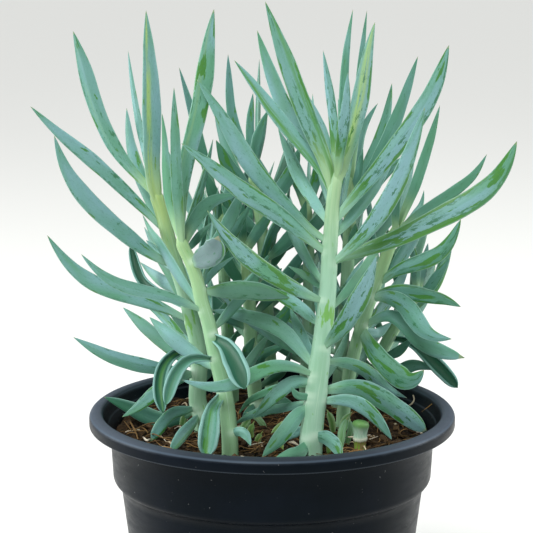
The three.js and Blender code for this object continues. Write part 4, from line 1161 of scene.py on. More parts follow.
def add_blade(parts, one, seed, shade):
    """One leaf as rings of points: centre + across * half width + out * thickness."""
    outline, channel = one["outline"], one["outline"] is SPOONED
    centre, ahead, across, out = ring_frames(one, seed)
    half = half_widths(one, seed)[:, None]
    u, v, inside, facet = channel_section() if channel else flat_section(seed)
    if channel:
        v = v + CHANNEL_LIFT * np.minimum(RING_SHARES / CHANNEL_LIFT_SHARE, 1)[:, None]
    else:
        flesh, reach = outline["flesh"]
        v = v * (1 + flesh * bell(RING_SHARES, reach))[:, None]
    grid = centre[:, None] + (half * -u)[..., None] * across[:, None] + (half * v)[..., None] * out[:, None]
    share = RING_SHARES[:, None]
    front = np.arange(LEAF_SIDES) < LEAF_SIDES / 2
    along = share * lengths_along(one["axis"])[-1]
    width_place = 0.5 * one["wide"] * np.where(front, u, 2.5 - u)
    stripe, place, spread = special(STRIPES, one, (0, 0, 1))
    rub, dust = special(LOOKS, one, (0.8 * draw(seed + 0.8) ** 1.5, 0))
    values = {
        "share": CHANNEL_SHARE * share if channel else share,
        "side": np.where(inside < 0.3, CHANNEL_SIDE * np.sign(u), u) if channel else u,
        "mark": np.stack(np.broadcast_arrays(width_place, along, 0.05 * (seed % 97)), axis=-1),
        # Some channels get less of the bed's painted shade
        "inside": inside * special(BEDS_WITH_LESS_PAINTED_SHADE, one, 1), "facet": facet, "tint": draw(seed + 0.6),
        "rub": rub, "shade": shade, "dust": dust, "young": one.get("young", outline["young"]),
        "sap": one["sap"], "stripe": stripe * bell(u - place, spread) * front,
    }
    parts.add(grid, centre[0], one["axis"][-1] + ahead[-1] * outline["spike"], values)


print("each point of a leaf keeps", len(MARKS) + 1, "values for its skin")

# %% [markdown]
# ## Stems
# A stem is a round tube along its own line, swollen a little where each leaf joins and below it. It goes
# straight down into its hole in the soil. A Blender curve with a bevel would give the tube, but not the
# swellings and the values for its skin, so it is a grid too.

# %% Stem path
# Heights of the foot in its hole and of the end of its straight part
STEM_FOOT = 128.35 * MM
STRAIGHT_UP_TO = 171 * MM
STRAIGHT_SPARE = 4 * MM


def stem_path(line):
    """The whole axis with its radius: the straight foot, then the line above the soil."""
    ends = [[*line["points"][0][:2], height] for height in (STEM_FOOT, STRAIGHT_UP_TO)]
    above = line["points"][:, 2] > STRAIGHT_UP_TO + STRAIGHT_SPARE
    radius = np.concatenate([[line["radius"][0]] * 2, line["radius"][above]])
    return np.vstack([ends, line["points"][above]]), radius


print("the tall stem is", round(lengths_along(stem_path(lines["tall_stem"])[0])[-1] / MM), "mm long")

# %% Stem
STEM_RINGS = 120
STEM_SIDES = 24
# Over how many radii the stem's end closes
STEM_TOP_LENGTH = 2.5
# How much thicker one leaf makes its joint, and how many times that at most where several meet
SWELLING = 0.06
MOST_SWELLING = 1.4
# How far up and down a joint swells, how far the swelling fades below it, and where its light scar lies
JOINT_LENGTH = 3.5 * MM
BELOW_JOINT_LENGTH = 16 * MM
SCAR_HEIGHT = 1.5 * MM
SCAR_LENGTH = 1.6 * MM
# Places in the picture where a stem is bare of bloom, how bare it is there, and how far that reaches
STEM_PATCHES = {"tall_stem": (328, 314, 0.42), "left_stem": (190, 322, 0.26)}
PATCH_REACH = 5.5 * MM


def add_stem(parts, name, roots, seed, shade, yellow):
    """One stem: rings of radius r * (1 + swelling at each joint) square to its axis."""
    line = lines[name]
    points, radius = stem_path(line)
    lengths = lengths_along(points)
    axis = even_path(points, STEM_RINGS, 6)
    share = np.linspace(0, 1, STEM_RINGS)
    r = np.interp(share * lengths[-1], lengths, radius)
    ahead = unit(np.gradient(axis, axis=0))
    right = unit(np.cross(np.array([0.0, 1.0, 0.0]), ahead))
    angle = full_turn(STEM_SIDES) + math.pi / STEM_SIDES
    outward = around(angle, right, np.cross(ahead, right))
    swell, scar = np.zeros((2, STEM_RINGS, STEM_SIDES))
    for root, direction in roots:
        height = (axis - root) @ unit(axis[-1] - axis[0])
        facing = np.maximum(outward @ direction, 0)
        swell += facing**2 * bell(height, JOINT_LENGTH)[:, None]
        swell += 0.5 * facing**3 * (np.exp(height / BELOW_JOINT_LENGTH) * (height < 0))[:, None]
        scar += facing**3 * bell(height - SCAR_HEIGHT, SCAR_LENGTH)[:, None]
    end = np.clip((1 - share) * lengths[-1] / (STEM_TOP_LENGTH * r), 0, 1)
    ring = (r * end**0.8)[:, None] * (1 + SWELLING * np.minimum(swell, MOST_SWELLING))
    grid = (axis[:, None] + ring[..., None] * outward)[:-1]
    share, top = share[:-1, None], r[-2]
    mark = np.stack(np.broadcast_arrays(top * angle, share * lengths[-1], 0.05 * seed), axis=-1)
    values = dict.fromkeys(MARKS, 0.0) | {
        "share": share, "mark": mark, "inside": np.minimum(scar[:-1], 1), "tint": draw(seed), "shade": shade,
        "young": yellow}
    if name in STEM_PATCHES:
        *place, bare = STEM_PATCHES[name]
        spot = picture_point(place, stem_at(line, place[1])[1] - top)
        values["rub"] = bare * bell(np.linalg.norm(grid - spot, axis=-1), PATCH_REACH)
    parts.add(grid, axis[0], axis[-1], values, material=1)


print("a stem has", STEM_RINGS - 1, "rings of", STEM_SIDES, "points")

# %% [markdown]
# ### Stems with their leaves
# A stem and its leaves grow as one thing, so they become one mesh with two skins. Stems further back stand
# in more shade. The young tops of some stems are yellow, and so are the roots of the leaves near them.

# %% Grow every stem
# How much painted shade each stem and its leaves get, more for those further back in the plant
SHADES = {
    "tall_stem": 0.0, "front_left_stem": 0.05, "left_stem": 0.12, "centre_stem": 0.75,
    "upper_centre_stem": 0.6, "shaded_stem": 0.35, "right_stem": 0.3, "far_right_stem": 0.45,
    "back_left_stem": 0.55, "back_right_stem": 0.6,
}
STEM_SHADE_SHARE = 0.6
YELLOW_TOPS = {"left_stem": 0.7, "front_left_stem": 0.3}
USUAL_YELLOW = 0.35
# How far below the top, in rows, the roots of leaves are still yellow
SAP_REACH = 45
# Leaves below this height start to count as low, and those behind this depth as inside the plant
LOW_HEIGHT = 230 * MM
INSIDE_DEPTH = -40 * MM
SHADE_REACH = 80 * MM
# How much painted shade that gives a leaf, and how much more one on the hidden side gets
LOW_SHADE = 0.3
HIDDEN_SHADE = 0.25


def leaf_shade(one, stem_shade):
    """From 0 to 1, painted shade: leaves that reach back into the plant, or grow low behind its front, are
    painted darker as if they lay in shade."""
    tip = one["axis"][-1]
    inward = np.clip((tip[1] - INSIDE_DEPTH) / SHADE_REACH, 0, 1)
    low = np.clip((LOW_HEIGHT - tip[2]) / SHADE_REACH, 0, 1) * inward
    back = 0.0 if one["seen"] else HIDDEN_SHADE
    return float(np.clip(stem_shade + LOW_SHADE * low + back + special(SHADED_LEAVES, one, 0), 0, 1))


for number, name in enumerate(STEMS, start=1):
    parts = Parts()
    own = [(i, one) for i, one in enumerate(leaves, start=1) if one["stem"] == name]
    roots = [(one["axis"][0], unit(one["axis"][3] - one["axis"][0])) for _, one in own]
    yellow = YELLOW_TOPS.get(name, USUAL_YELLOW)
    add_stem(parts, name, roots, number, STEM_SHADE_SHARE * SHADES[name], yellow)
    for i, one in own:
        below_top = one["row"] - lines[name]["rows"].min() if one["row"] else SAP_REACH
        fresh = 1 if one["outline"] is SHEATHING else max(0, 1 - below_top / SAP_REACH)
        one["sap"] = yellow * fresh
        add_blade(parts, one, i, leaf_shade(one, SHADES[name]))
    piece = parts.build(name + "_grown", [LEAF_SKIN, STEM_SKIN])
    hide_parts(name)
    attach(piece, "root")
    print(name, "has", len(own), "leaves and", len(piece.data.polygons), "faces")

# %% [markdown]
# ## Soil
# Damp peat and coir: a dark crumbly ground with tan fibres and bark chips. The ground is one disc over
# radius and angle, lifted by the same slow waves as the plain solid and by finer crumbs. It could be left
# to a bump map, but chips and fibres catch light and throw shadows, so they are real meshes.

# %% The pot's inside and the soil's relief
WALL = 2.4 * MM
GAP = 0.35 * MM
FLOOR_THICKNESS = 3 * MM
BODY_RADIUS_AT_BASE = 68.5 * MM
BODY_TAPER = 0.125
COLLAR_BOTTOM = 134 * MM
COLLAR_RADIUS = 91 * MM
COLLAR_TOP_INSIDE = 163 * MM
# Wavelength and height of the crumbs in mm, from large to small, and how far they are sunk
CRUMBS = ((9, 0.8), (5, 0.55), (2.8, 0.4), (1.6, 0.25))
CRUMB_WAVES = 9
CRUMB_SINK = 0.9 * MM


def body_radius(z):
    """The outer radius of the pot's tapering body."""
    return BODY_RADIUS_AT_BASE + BODY_TAPER * z


def inner_radius(z):
    """The inner radius of the wall, up the body and up the collar."""
    low = body_radius(COLLAR_BOTTOM) - WALL
    return np.where(z < COLLAR_BOTTOM, body_radius(z) - WALL,
                    np.interp(z, [COLLAR_BOTTOM, COLLAR_TOP_INSIDE], [low, COLLAR_RADIUS - WALL]))


def soil_height(x, y):
    """The slow relief of the plain solid: crossed waves with sizes of 1, 0.6 and 0.5, which add up to 2.1."""
    a, b = x / MM, y / MM
    waves = (np.sin(0.11 * a + 0.9) * np.cos(0.13 * b - 0.4) + 0.6 * np.sin(0.27 * a - 0.21 * b)
             + 0.5 * np.cos(0.19 * a + 0.34 * b + 1.3))
    return SOIL_TOP + SOIL_RELIEF / 2.1 * waves


def crumbs(x, y, rng):
    """Finer relief: many short waves in random directions, with sharper tops than hollows."""
    height = np.zeros_like(x)
    for wavelength, size in CRUMBS:
        total = np.zeros_like(x)
        for _ in range(CRUMB_WAVES):
            angle, phase = rng.uniform(0, 2 * math.pi, 2)
            along = x * math.cos(angle) + y * math.sin(angle)
            total += np.sin(along * 2 * math.pi / (wavelength * MM) + phase)
        height += size * MM * np.abs(total / 3)
    return height - CRUMB_SINK


print("the soil's edge is at", round(float(inner_radius(SOIL_TOP)) / MM, 1), "mm")

# %% [markdown]
# ### The ground
# The plug of soil fills the pot down to its floor, so the piece is closed like the real filling. Its top is
# rings of points that lie closer together near the wall, where the crumbs flatten out.

# %% Soil ground
SOIL_COLOURS = {"wet": (17, 12, 7), "damp": (62, 45, 26), "dry grain": (112, 84, 50)}
SOIL_RINGS = 130
SOIL_SIDES = 300
FLAT_EDGE = 4 * MM
SOIL_WALL_HEIGHTS = np.array([FLOOR_THICKNESS + GAP, COLLAR_BOTTOM * 0.5, COLLAR_BOTTOM, 157 * MM])
rng = np.random.default_rng(7)


def soil_material():
    """Two sizes of noise: damp lumps, with dry grains between them."""
    nodes = Nodes("peat_and_coir", SOIL_COLOURS)
    lump = nodes.noise(nodes.place(), 260, 5, 0.65)
    grain = nodes.noise(nodes.place(), 1400, 3, 0.6)
    nodes.bump(lump + grain, 1.2 * MM, 0.8)
    colour = nodes.layered(
        "wet", (lump.ramp(0.36, 0.66), "damp"), (grain.ramp(0.55, 0.75) * 0.55, "dry grain"))
    return nodes.finish(colour, 0.92, 0.2)


def soil_piece():
    """A closed disc-shaped plug: the top is r * (cos a, sin a, relief), and the wall goes down the pot."""
    edge = float(inner_radius(SOIL_TOP)) - 2 * GAP
    r = edge * np.linspace(0, 1, SOIL_RINGS + 1)[:0:-1, None] ** 0.85
    angle = full_turn(SOIL_SIDES)
    x, y = r * np.cos(angle), r * np.sin(angle)
    relief = soil_height(x, y) + crumbs(x, y, rng) * np.clip((edge - r) / FLAT_EDGE, 0, 1)
    wall_radius = inner_radius(SOIL_WALL_HEIGHTS)[:, None] - 2 * GAP
    grid = np.concatenate([turned(wall_radius, SOIL_WALL_HEIGHTS[:, None], angle), turned(r, relief, angle)])
    low = np.array([0, 0, SOIL_WALL_HEIGHTS[0]])
    parts = Parts()
    parts.add(grid, low, np.array([0, 0, float(soil_height(np.array(0.0), np.array(0.0)))]), {"share": 0.0})
    return parts.build("soil_ground", [soil_material()])


soil = soil_piece()
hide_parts("soil")
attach(soil, "root")
print("soil ground faces:", len(soil.data.polygons))

# %% [markdown]
# ### Fibres on the soil
# Coir is short curled hairs of coconut husk. Each is a thin tube along a bent path laid on the ground. A
# particle system could strew them, but here each one knows the ground under it and keeps off the stems.

# %% Strewn places and threads
STEM_FEET = np.array([line["points"][0][:2] for line in lines.values()])
STREWN_RADIUS = 84 * MM
CLEAR_OF_STEMS = 8 * MM


def scatter(count, radius):
    """Random places on the soil that keep off the stems."""
    places = np.zeros((0, 2))
    while len(places) < count:
        angle = rng.uniform(0, 2 * math.pi, count)
        out = radius * np.sqrt(rng.uniform(0, 1, count))
        new = np.stack([out * np.cos(angle), out * np.sin(angle)], axis=1)
        clear = np.linalg.norm(new[:, None] - STEM_FEET[None], axis=2).min(axis=1) > CLEAR_OF_STEMS
        places = np.vstack([places, new[clear]])
    return places[:count]


def debris_material(name, dark, light):
    """Dry plant matter whose shade differs from piece to piece."""
    nodes = Nodes(name, {"dark": dark, "light": light})
    grain = nodes.noise(nodes.place(), 900, 3)
    nodes.bump(grain, 0.4 * MM, 0.6)
    colour = nodes.layered("dark", (nodes.read("share"), "light"), (grain * 0.4, "dark"))
    return nodes.finish(colour, 0.85, 0.25)


def add_thread(parts, path, radius, sides, shade):
    """A thin tube: path + radius * (cos a * side + sin a * over)."""
    ahead = unit(np.gradient(path, axis=0))
    side = unit(np.cross(ahead, UP))
    directions = around(-full_turn(sides), side, np.cross(side, ahead))
    grid = path[:, None] + np.reshape(radius, (-1, 1, 1)) * directions
    parts.add(grid, path[0], path[-1], {"share": shade})


# %% Fibres
# How far from the middle a fibre may reach, and how high it rests over the smooth soil
KEPT_RADIUS = 85 * MM
FIBRE_REST = 0.7 * MM
FIBRE_STEPS = 9


def fibre_piece(count, length_range, thick_range, lift, name, material):
    """Curled fibres: each path turns evenly as it goes, and lifts in an arch off the ground."""
    places = scatter(count, STREWN_RADIUS)
    s = np.linspace(-0.5, 0.5, FIBRE_STEPS)
    length = rng.uniform(*length_range, count)[:, None] * MM
    heading = rng.uniform(0, 2 * math.pi, count)[:, None]
    direction = heading + rng.normal(0, 0.9, count)[:, None] * s
    step = length / (FIBRE_STEPS - 1)
    x = places[:, :1] + np.cumsum(np.cos(direction) * step, axis=1) - 0.5 * np.cos(heading) * length
    y = places[:, 1:] + np.cumsum(np.sin(direction) * step, axis=1) - 0.5 * np.sin(heading) * length
    pull = np.minimum(1, KEPT_RADIUS / np.hypot(x, y))
    x, y = x * pull, y * pull
    arch = rng.uniform(0, lift, count)[:, None] * MM * (1 - (2 * s) ** 2)
    tilt = rng.normal(0, 0.5 * lift, count)[:, None] * MM * s
    path = np.stack([x, y, soil_height(x, y) + FIBRE_REST + arch + np.abs(tilt)], axis=-1)
    thick = rng.uniform(*thick_range, count) * MM
    parts = Parts()
    for row, width, shade in zip(path, thick, rng.uniform(0, 1, count)):
        add_thread(parts, row, width * (1 - 0.6 * (2 * s) ** 2), 4, shade)
    return parts.build(name, [material])


COIR = debris_material("coir_fibre", (62, 44, 24), (158, 124, 76))
BARK = debris_material("bark_chip", (28, 20, 12), (88, 66, 40))
PALE = debris_material("pale_root", (168, 150, 120), (226, 218, 200))
debris = [
    fibre_piece(520, (5, 17), (0.16, 0.34), 2.2, "coir_fibres", COIR),
    fibre_piece(26, (16, 34), (0.22, 0.4), 6, "long_fibres", COIR),
    fibre_piece(34, (6, 16), (0.25, 0.5), 2.5, "pale_roots", PALE),
]
print("kinds of fibre:", [piece.name for piece in debris])

# %% [markdown]
# ### Chips and grit
# Composted bark breaks into flat chips, and a little pale grit lies between them. Each is a lumpy bead,
# squashed and turned. Hundreds of them are cheap, because a bead has only a few points.

# %% Chips
CHIP_SIDES = 7
CHIP_LEAN = 0.35
CHIP_REST = 0.6 * MM


def chip_piece(count, size_range, flat, name, material):
    """Lumpy beads: a sphere over latitude and longitude, squashed to flat, stretched and turned."""
    places = scatter(count, STREWN_RADIUS)
    latitude = np.linspace(-math.pi / 2, math.pi / 2, 6)[1:-1, None]
    ball = turned(np.cos(latitude), np.sin(latitude), full_turn(CHIP_SIDES))
    parts = Parts()
    for place, size, turn in zip(places, rng.uniform(*size_range, count) * MM, rng.uniform(0, 6.3, count)):
        lumps = 1 + rng.uniform(-0.3, 0.3, ball.shape[:2])[..., None]
        stretch = np.array([rng.uniform(0.9, 2.0), rng.uniform(0.6, 1.1), flat])
        x, y, z = np.moveaxis(ball * lumps * stretch * size, -1, 0)
        lean = rng.normal(0, CHIP_LEAN)
        spun = np.stack([x * math.cos(turn) - y * math.sin(turn), x * math.sin(turn) + y * math.cos(turn),
                         z + lean * x], axis=-1)
        middle = np.array([*place, float(soil_height(*place)) + CHIP_REST + 0.2 * size])
        parts.add(spun + middle, middle - UP * flat * size, middle + UP * flat * size,
                  {"share": rng.uniform(0, 1)})
    return parts.build(name, [material])


debris += [
    chip_piece(700, (0.7, 2.1), 0.5, "bark_chips", BARK),
    chip_piece(44, (0.6, 1.5), 0.7, "pale_grit", PALE),
]
print("chips and grit:", [piece.name for piece in debris[3:]])

# %% [markdown]
# ### Strands that show
# A few longer fibres and pale roots show clearly in the photograph. Strewing could not place them, so they
# are laid one by one, through picture places with a height over the soil.

# %% Strands
STRAND_SAMPLES = 12
# Each strand: its radius in mm, then picture places with their height over the soil in mm
TAN_STRANDS = [
    (0.5, (419, 414, 1), (425, 410, 4), (432, 404, 9)), (0.5, (428, 421, 1), (430, 412, 4), (433, 403, 9)),
    (0.55, (129, 420, 2), (135, 430, 3), (138, 439, 2)), (0.45, (124, 421, 2), (131, 430, 3)),
    (0.4, (127, 433, 1), (135, 430, 3), (142, 426, 3)), (0.45, (246, 456, 1), (256, 449, 3), (265, 441, 2)),
    (0.4, (258, 444, 2), (260, 448, 3), (262, 452, 1)),
    (0.4, (214, 453, 1), (216, 448, 2), (221, 446, 3), (226, 448, 1)),
]
WHITE_STRANDS = [
    (0.7, (143, 437, 1), (147, 441, 2), (150, 439, 1)), (0.6, (166, 442, 1), (170, 442, 2), (173, 446, 1)),
    (0.6, (348, 437, 5), (358, 437, 7), (370, 435, 6)), (0.45, (360, 440, 5), (364, 446, 3), (367, 452, 1)),
    (0.6, (408, 406, 2), (412, 404, 4), (415, 400, 6), (413, 395, 9)),
    (0.9, (288, 443, 1), (293, 442, 3), (299, 446, 1)),
]


def on_soil(place, lift):
    """The point at a height over the soil that shows at a place in the picture."""
    front, back = picture_point(place, -90 * MM), picture_point(place, 90 * MM)
    return between((front, back), (SOIL_TOP + lift * MM - front[2]) / (back[2] - front[2]))


def strand_piece(strands, name, material):
    """Thin tubes that run smoothly through their places and thin out towards both ends."""
    parts = Parts()
    taper = 1 - 0.5 * np.linspace(-1, 1, STRAND_SAMPLES) ** 2
    for thick, *marks in strands:
        path = even_path([on_soil(mark[:2], mark[2]) for mark in marks], STRAND_SAMPLES, 3)
        add_thread(parts, path, thick * MM * taper, 6, draw(len(parts.points) + 1))
    return parts.build(name, [material])


debris += [
    strand_piece(TAN_STRANDS, "tan_strands", COIR),
    strand_piece(WHITE_STRANDS, "white_strands", PALE),
]
for piece in debris:
    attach(piece, "root")
print("debris faces:", sum(len(piece.data.polygons) for piece in debris))

# %% [markdown]
# ## Sprouts at the stems' feet
# Young leaves break through the soil between the stems, yellow-green with a deep green middle. A shape of
# their own would say little more at this size, so they are the same blades in small. Each stands upright on
# the soil in a plane that faces the viewer.

# %% Sprouts
# Each sprout: its width in mm, how yellow and how shaded it is, then its places in the picture from its foot
SPROUTS = [
    (5.0, 0.9, 0.5, (252, 446), (251, 439), (250, 431), (253, 424)),
    (4.6, 1.0, 0.3, (257, 449), (257, 444), (258, 439), (261, 434)),
    (4.4, 1.0, 0.35, (280, 457), (280, 452), (281, 446), (279, 438)),
    (5.4, 0.5, 0.55, (246, 440), (242, 434), (243, 427), (250, 419)),
    (4.0, 0.9, 0.3, (329, 457), (329, 452), (329, 446), (327, 440)),
    (4.8, 0.6, 0.6, (334, 438), (333, 430), (332, 421), (328, 412)),
    (4.6, 0.4, 0.35, (341, 436), (341, 428), (344, 420), (350, 414)),
    (4.2, 0.3, 0.7, (330, 430), (336, 424), (343, 423), (348, 428)),
    (4.4, 0.7, 0.55, (270, 440), (274, 432), (281, 425), (288, 421)),
    (4.4, 0.4, 0.6, (199, 438), (203, 430), (206, 420), (204, 411)),
    (4.8, 0.5, 0.5, (181, 436), (182, 426), (184, 417), (189, 408)),
    (5.6, 0.1, 0.2, (341, 453), (341, 442), (342, 430), (347, 419)),
    (4.4, 0.1, 0.4, (346, 450), (348, 440), (351, 430), (350, 421)),
    (4.6, 0.8, 0.4, (236, 436), (234, 428), (230, 421), (224, 417)),
    (4.6, 0.3, 0.6, (268, 434), (264, 426), (258, 418), (250, 414)),
]
SPROUT_WIDTH_SHARE = 0.8
SPROUT_SHADE_SHARE = 0.5
SPROUT_SEED = 400
# How deep a sprout's foot is in the soil, in mm, and how far the stem's colour runs up it
SPROUT_FOOT = -3
SPROUT_YOUNG = 8.0
STRIPES["sprouts"] = {number: (-0.75, 0, 4) for number in range(len(SPROUTS))}


def sprout_piece():
    """All sprouts as one piece."""
    parts = Parts()
    for number, (wide, sap, shade, *places) in enumerate(SPROUTS):
        foot = on_soil(places[0], SPROUT_FOOT)
        way = [foot] + [picture_point(place, foot[1]) for place in places[1:]]
        one = {"stem": "sprouts", "row": number, "axis": even_path(way, LEAF_SAMPLES, 3), "outline": ENDED,
               "wide": SPROUT_WIDTH_SHARE * wide * MM, "face": unit(UP * 0.4 - SIGHT), "sap": sap,
               "young": SPROUT_YOUNG}
        add_blade(parts, one, SPROUT_SEED + number, SPROUT_SHADE_SHARE * shade)
    return parts.build("low_sprouts", [LEAF_SKIN])


sprouts = sprout_piece()
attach(sprouts, "root")
print("sprouts:", len(SPROUTS), "with", len(sprouts.data.polygons), "faces")

# %% [markdown]
# ## The old stub
# Beside the tall stem stands the short end of an old one. It leans a little, and is pale, with a whitish
# ring low down where thin roots start. Its cut has healed to a small green dome that slopes to one side. It
# could be carved from a block, but a turned post with a list of radii is enough, and its colours follow its
# height.

# %% Stub material
STUB_COLOURS = {
    "green foot": (112, 140, 48), "brown foot": (128, 100, 72), "ring": (190, 198, 176),
    "side": (138, 176, 150), "pale side": (166, 194, 172), "cap": (94, 142, 76),
}


def stub_material():
    """Colours by height above the soil: a green and brown foot, a whitish ring, pale sides, a green cap."""
    nodes = Nodes("old_stem", STUB_COLOURS)
    streak = nodes.noise(nodes.place(), (900, 900, 160), 4)
    rise = nodes.read("share") + streak * 0.12
    sides = nodes.layered("side", (streak.ramp(0.4, 0.65), "pale side"))
    colour = nodes.layered(
        "green foot", (streak.ramp(0.42, 0.58), "brown foot"), (rise.ramp(0.36, 0.42), "ring"),
        (rise.ramp(0.46, 0.56), sides), (rise.ramp(0.72, 0.94), "cap"))
    nodes.bump(streak, 0.4 * MM, 0.6)
    return nodes.finish(colour, 0.6)


# %% Old stub
# Where its foot shows in the picture, and how far back it stands
STUB_FOOT = (360, 448)
STUB_DEPTH = -42 * MM
STUB_HEIGHT = 17 * MM
STUB_RADIUS = 4.6 * MM
STUB_LEAN = 0.6 * MM
# Height over the soil and radius of each ring, as shares of the stub's own
STUB_RINGS = np.array([
    (-2.2, 0.72), (-1.2, 0.72), (-0.5, 0.72), (0.0, 0.72), (0.12, 0.7), (0.24, 0.72), (0.32, 0.78),
    (0.37, 0.88), (0.42, 0.84), (0.5, 0.78), (0.62, 0.82), (0.72, 0.88), (0.8, 0.97), (0.86, 0.98),
    (0.91, 0.92), (0.95, 0.76), (0.98, 0.54), (0.995, 0.26),
])
STUB_SIDES = 24


def stub_piece():
    """A round post over height and angle: narrow at the soil, ringed low down, and closed by a domed cap
    that slopes to one side."""
    foot = picture_point(STUB_FOOT, STUB_DEPTH)
    rise, ring = STUB_RINGS.T[:, :, None]
    angle = full_turn(STUB_SIDES)
    across = STUB_RADIUS * ring * (1 + 0.04 * np.sin(3 * angle + 1) + 0.02 * np.sin(7 * angle))
    above = np.maximum(rise, 0)
    lean = STUB_LEAN * (above - 0.5) * np.minimum(above * 4, 1)
    slope = -0.12 * across * np.cos(angle - 0.4) * (above > 0.6)
    lowest = STEM_FOOT + 0.01 * MM * np.arange(len(rise))[:, None]
    height = np.maximum(SOIL_TOP + rise * STUB_HEIGHT, lowest)
    grid = np.stack([foot[0] + lean + across * np.cos(angle), foot[1] + across * np.sin(angle),
                     height + slope], axis=-1)
    low, high = ([foot[0], foot[1], z] for z in (STEM_FOOT, SOIL_TOP + STUB_HEIGHT))
    parts = Parts()
    parts.add(grid, low, high, {"share": rise})
    return parts.build("old_stub_grown", [stub_material()])


stub = stub_piece()
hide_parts("old_stub")
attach(stub, "root")
print("stub faces:", len(stub.data.polygons))

# %% [markdown]
# ## The pot
# A moulded nursery pot is thin plastic turned from one profile: a rolled rim over a flange, a straight
# collar with a rounded foot, and a tapering body. A Lathe or Spin would do, but the profile as a list of
# radii and heights swept over angle is the same thing in one line of numpy, and stays closed.

# %% Pot profile
RIM_UNDERSIDE = 167 * MM
COLLAR_STEP = 4.5 * MM
POT_SIDES = 256
# The middle of the floor is a tiny ring, so that the skin stays closed
INNERMOST = 0.002 * MM


def arc(centre_r, centre_z, radius_r, radius_z, start, end, count):
    """Points in mm on a quarter or half ellipse, from one angle in degrees to another."""
    angle = np.radians(np.linspace(start, end, count))
    return np.stack([centre_r + radius_r * np.cos(angle), centre_z + radius_z * np.sin(angle)], axis=1) * MM


def pot_profile():
    """Radius and height from the middle of the base, up the outside, over the rim and down inside."""
    base, step, collar = BODY_RADIUS_AT_BASE / MM, body_radius(COLLAR_BOTTOM), COLLAR_RADIUS / MM
    bottom, under, top = COLLAR_BOTTOM / MM, RIM_UNDERSIDE / MM, POT_HEIGHT / MM
    rim, inner = RIM_RADIUS / MM, RIM_INNER_RADIUS / MM
    return np.vstack([
        [[INNERMOST, 0], [(base - 3) * MM, 0]],
        arc(base - 2, 2, 2, 2, -90, 0, 6),
        [[body_radius(z * MM), z * MM] for z in (20, 45, 70, 95, 115, 129)],
        [[step, COLLAR_BOTTOM], [step + 0.15 * COLLAR_STEP, (bottom + 0.2) * MM]],
        arc(collar - 4.7, bottom + 5, 3.2, 4.2, -75, 0, 7),
        np.array([[collar - 0.9, 150], [collar, under - 1], [collar + 0.6, under - 0.15],
                  [collar + 1.4, under]]) * MM,
        arc(rim - 0.8, under + 0.8, 0.8, 0.8, -90, 0, 5),
        [[RIM_RADIUS, (top - 5) * MM]],
        arc(rim - 4.2, top - 3.6, 4.2, 3.6, 0, 90, 9),
        arc(inner + 1.8, top - 1.4, 1.8, 1.4, 95, 180, 6),
        np.array([[collar + 2.6, top - 4.4], [collar + 1.2, top - 7], [collar - 0.4, top - 9.6]]) * MM,
        [[float(inner_radius(z * MM)), z * MM] for z in (163, 150, 134, 100, 60, 20, 3)],
        [[INNERMOST, FLOOR_THICKNESS]],
    ])


print("points in the pot's profile:", len(pot_profile()))

# %% [markdown]
# ### The pot's plastic
# Black polypropylene with a faint blue cast. The top of the rim is grey, partly from wear and partly as a
# painted highlight, strongest at the flanks; two thin painted highlight lines run round the rim, and specks
# of dust lie on it. Reflections are soft, because fine scuffs run round the wall. A picture wrapped round
# the pot would show its seam, so all of it follows the place of the point in space.

# %% Pot material
# Heights between which the rim's top is painted grey, as wear and as painted highlight, and how ragged that
# edge is
RIM_WEAR_AND_HIGHLIGHT_FROM = 172.2 * MM
RIM_WEAR_AND_HIGHLIGHT_TO = 175.4 * MM
RIM_WEAR_AND_HIGHLIGHT_RAGGED = 1.5 * MM
# The distances from the middle plane between which the wear and painted highlight grow to their full strength
HIGHLIGHT_FLANKS = (30 * MM, 90 * MM)
# Heights of the two painted highlight lines, and how far from them they begin and are full
LIP_HIGHLIGHT_HEIGHT = 167.3 * MM
CREASE_HIGHLIGHT_HEIGHT = 173.4 * MM
HIGHLIGHT_LINE_REACH = (0.7 * MM, 0.2 * MM)
POT_COLOURS = {
    "black": (3, 8, 14), "blue black": (7, 13, 22), "worn": (72, 80, 90), "lip": (62, 70, 78),
    "crease": (74, 88, 102), "dust": (128, 130, 130),
}


def highlight_line_at(height, level):
    """A thin painted highlight line round the pot at one height."""
    return abs(height + -level).ramp(*HIGHLIGHT_LINE_REACH)


def pot_material():
    """Satin black plastic: wear and painted highlights, and dust, over a clouded black, and scuffs in its
    roughness.
    """
    nodes = Nodes("pot_plastic", POT_COLOURS)
    place = nodes.place()
    across, height = (nodes.add("ShaderNodeSeparateXYZ", {"Vector": place}, axis) for axis in "XZ")
    ragged = height + nodes.noise(place, 90, 4, 0.6) * RIM_WEAR_AND_HIGHLIGHT_RAGGED
    worn = ragged.ramp(RIM_WEAR_AND_HIGHLIGHT_FROM, RIM_WEAR_AND_HIGHLIGHT_TO) * (abs(across).ramp(*HIGHLIGHT_FLANKS) * 0.6 + 0.4)
    # The grey rim top is wear and painted highlight, and the two thin lines are painted highlights
    colour = nodes.layered(
        "black", (nodes.noise(place, 22, 4, 0.6).ramp(0.35, 0.7), "blue black"), (worn, "worn"),
        (highlight_line_at(height, LIP_HIGHLIGHT_HEIGHT) * 0.5, "lip"), (highlight_line_at(height, CREASE_HIGHLIGHT_HEIGHT) * 0.55, "crease"),
        (nodes.noise(place, 520).ramp(0.735, 0.765) * 0.5, "dust"))
    scuff = nodes.noise(place, (60, 60, 260), 4, 0.65)
    nodes.bump(nodes.noise(place, 1500) * 0.35 + scuff, 0.12 * MM, 0.5)
    nodes.shader.inputs["Specular Tint"].default_value = (0.78, 0.91, 1, 1)
    return nodes.finish(colour, scuff.ramp(0.3, 0.7, 0.3, 0.46, "LINEAR") + worn * 0.12, 0.09)


POT_PLASTIC = pot_material()
print("the pot's plastic has", len(POT_PLASTIC.node_tree.nodes), "nodes")

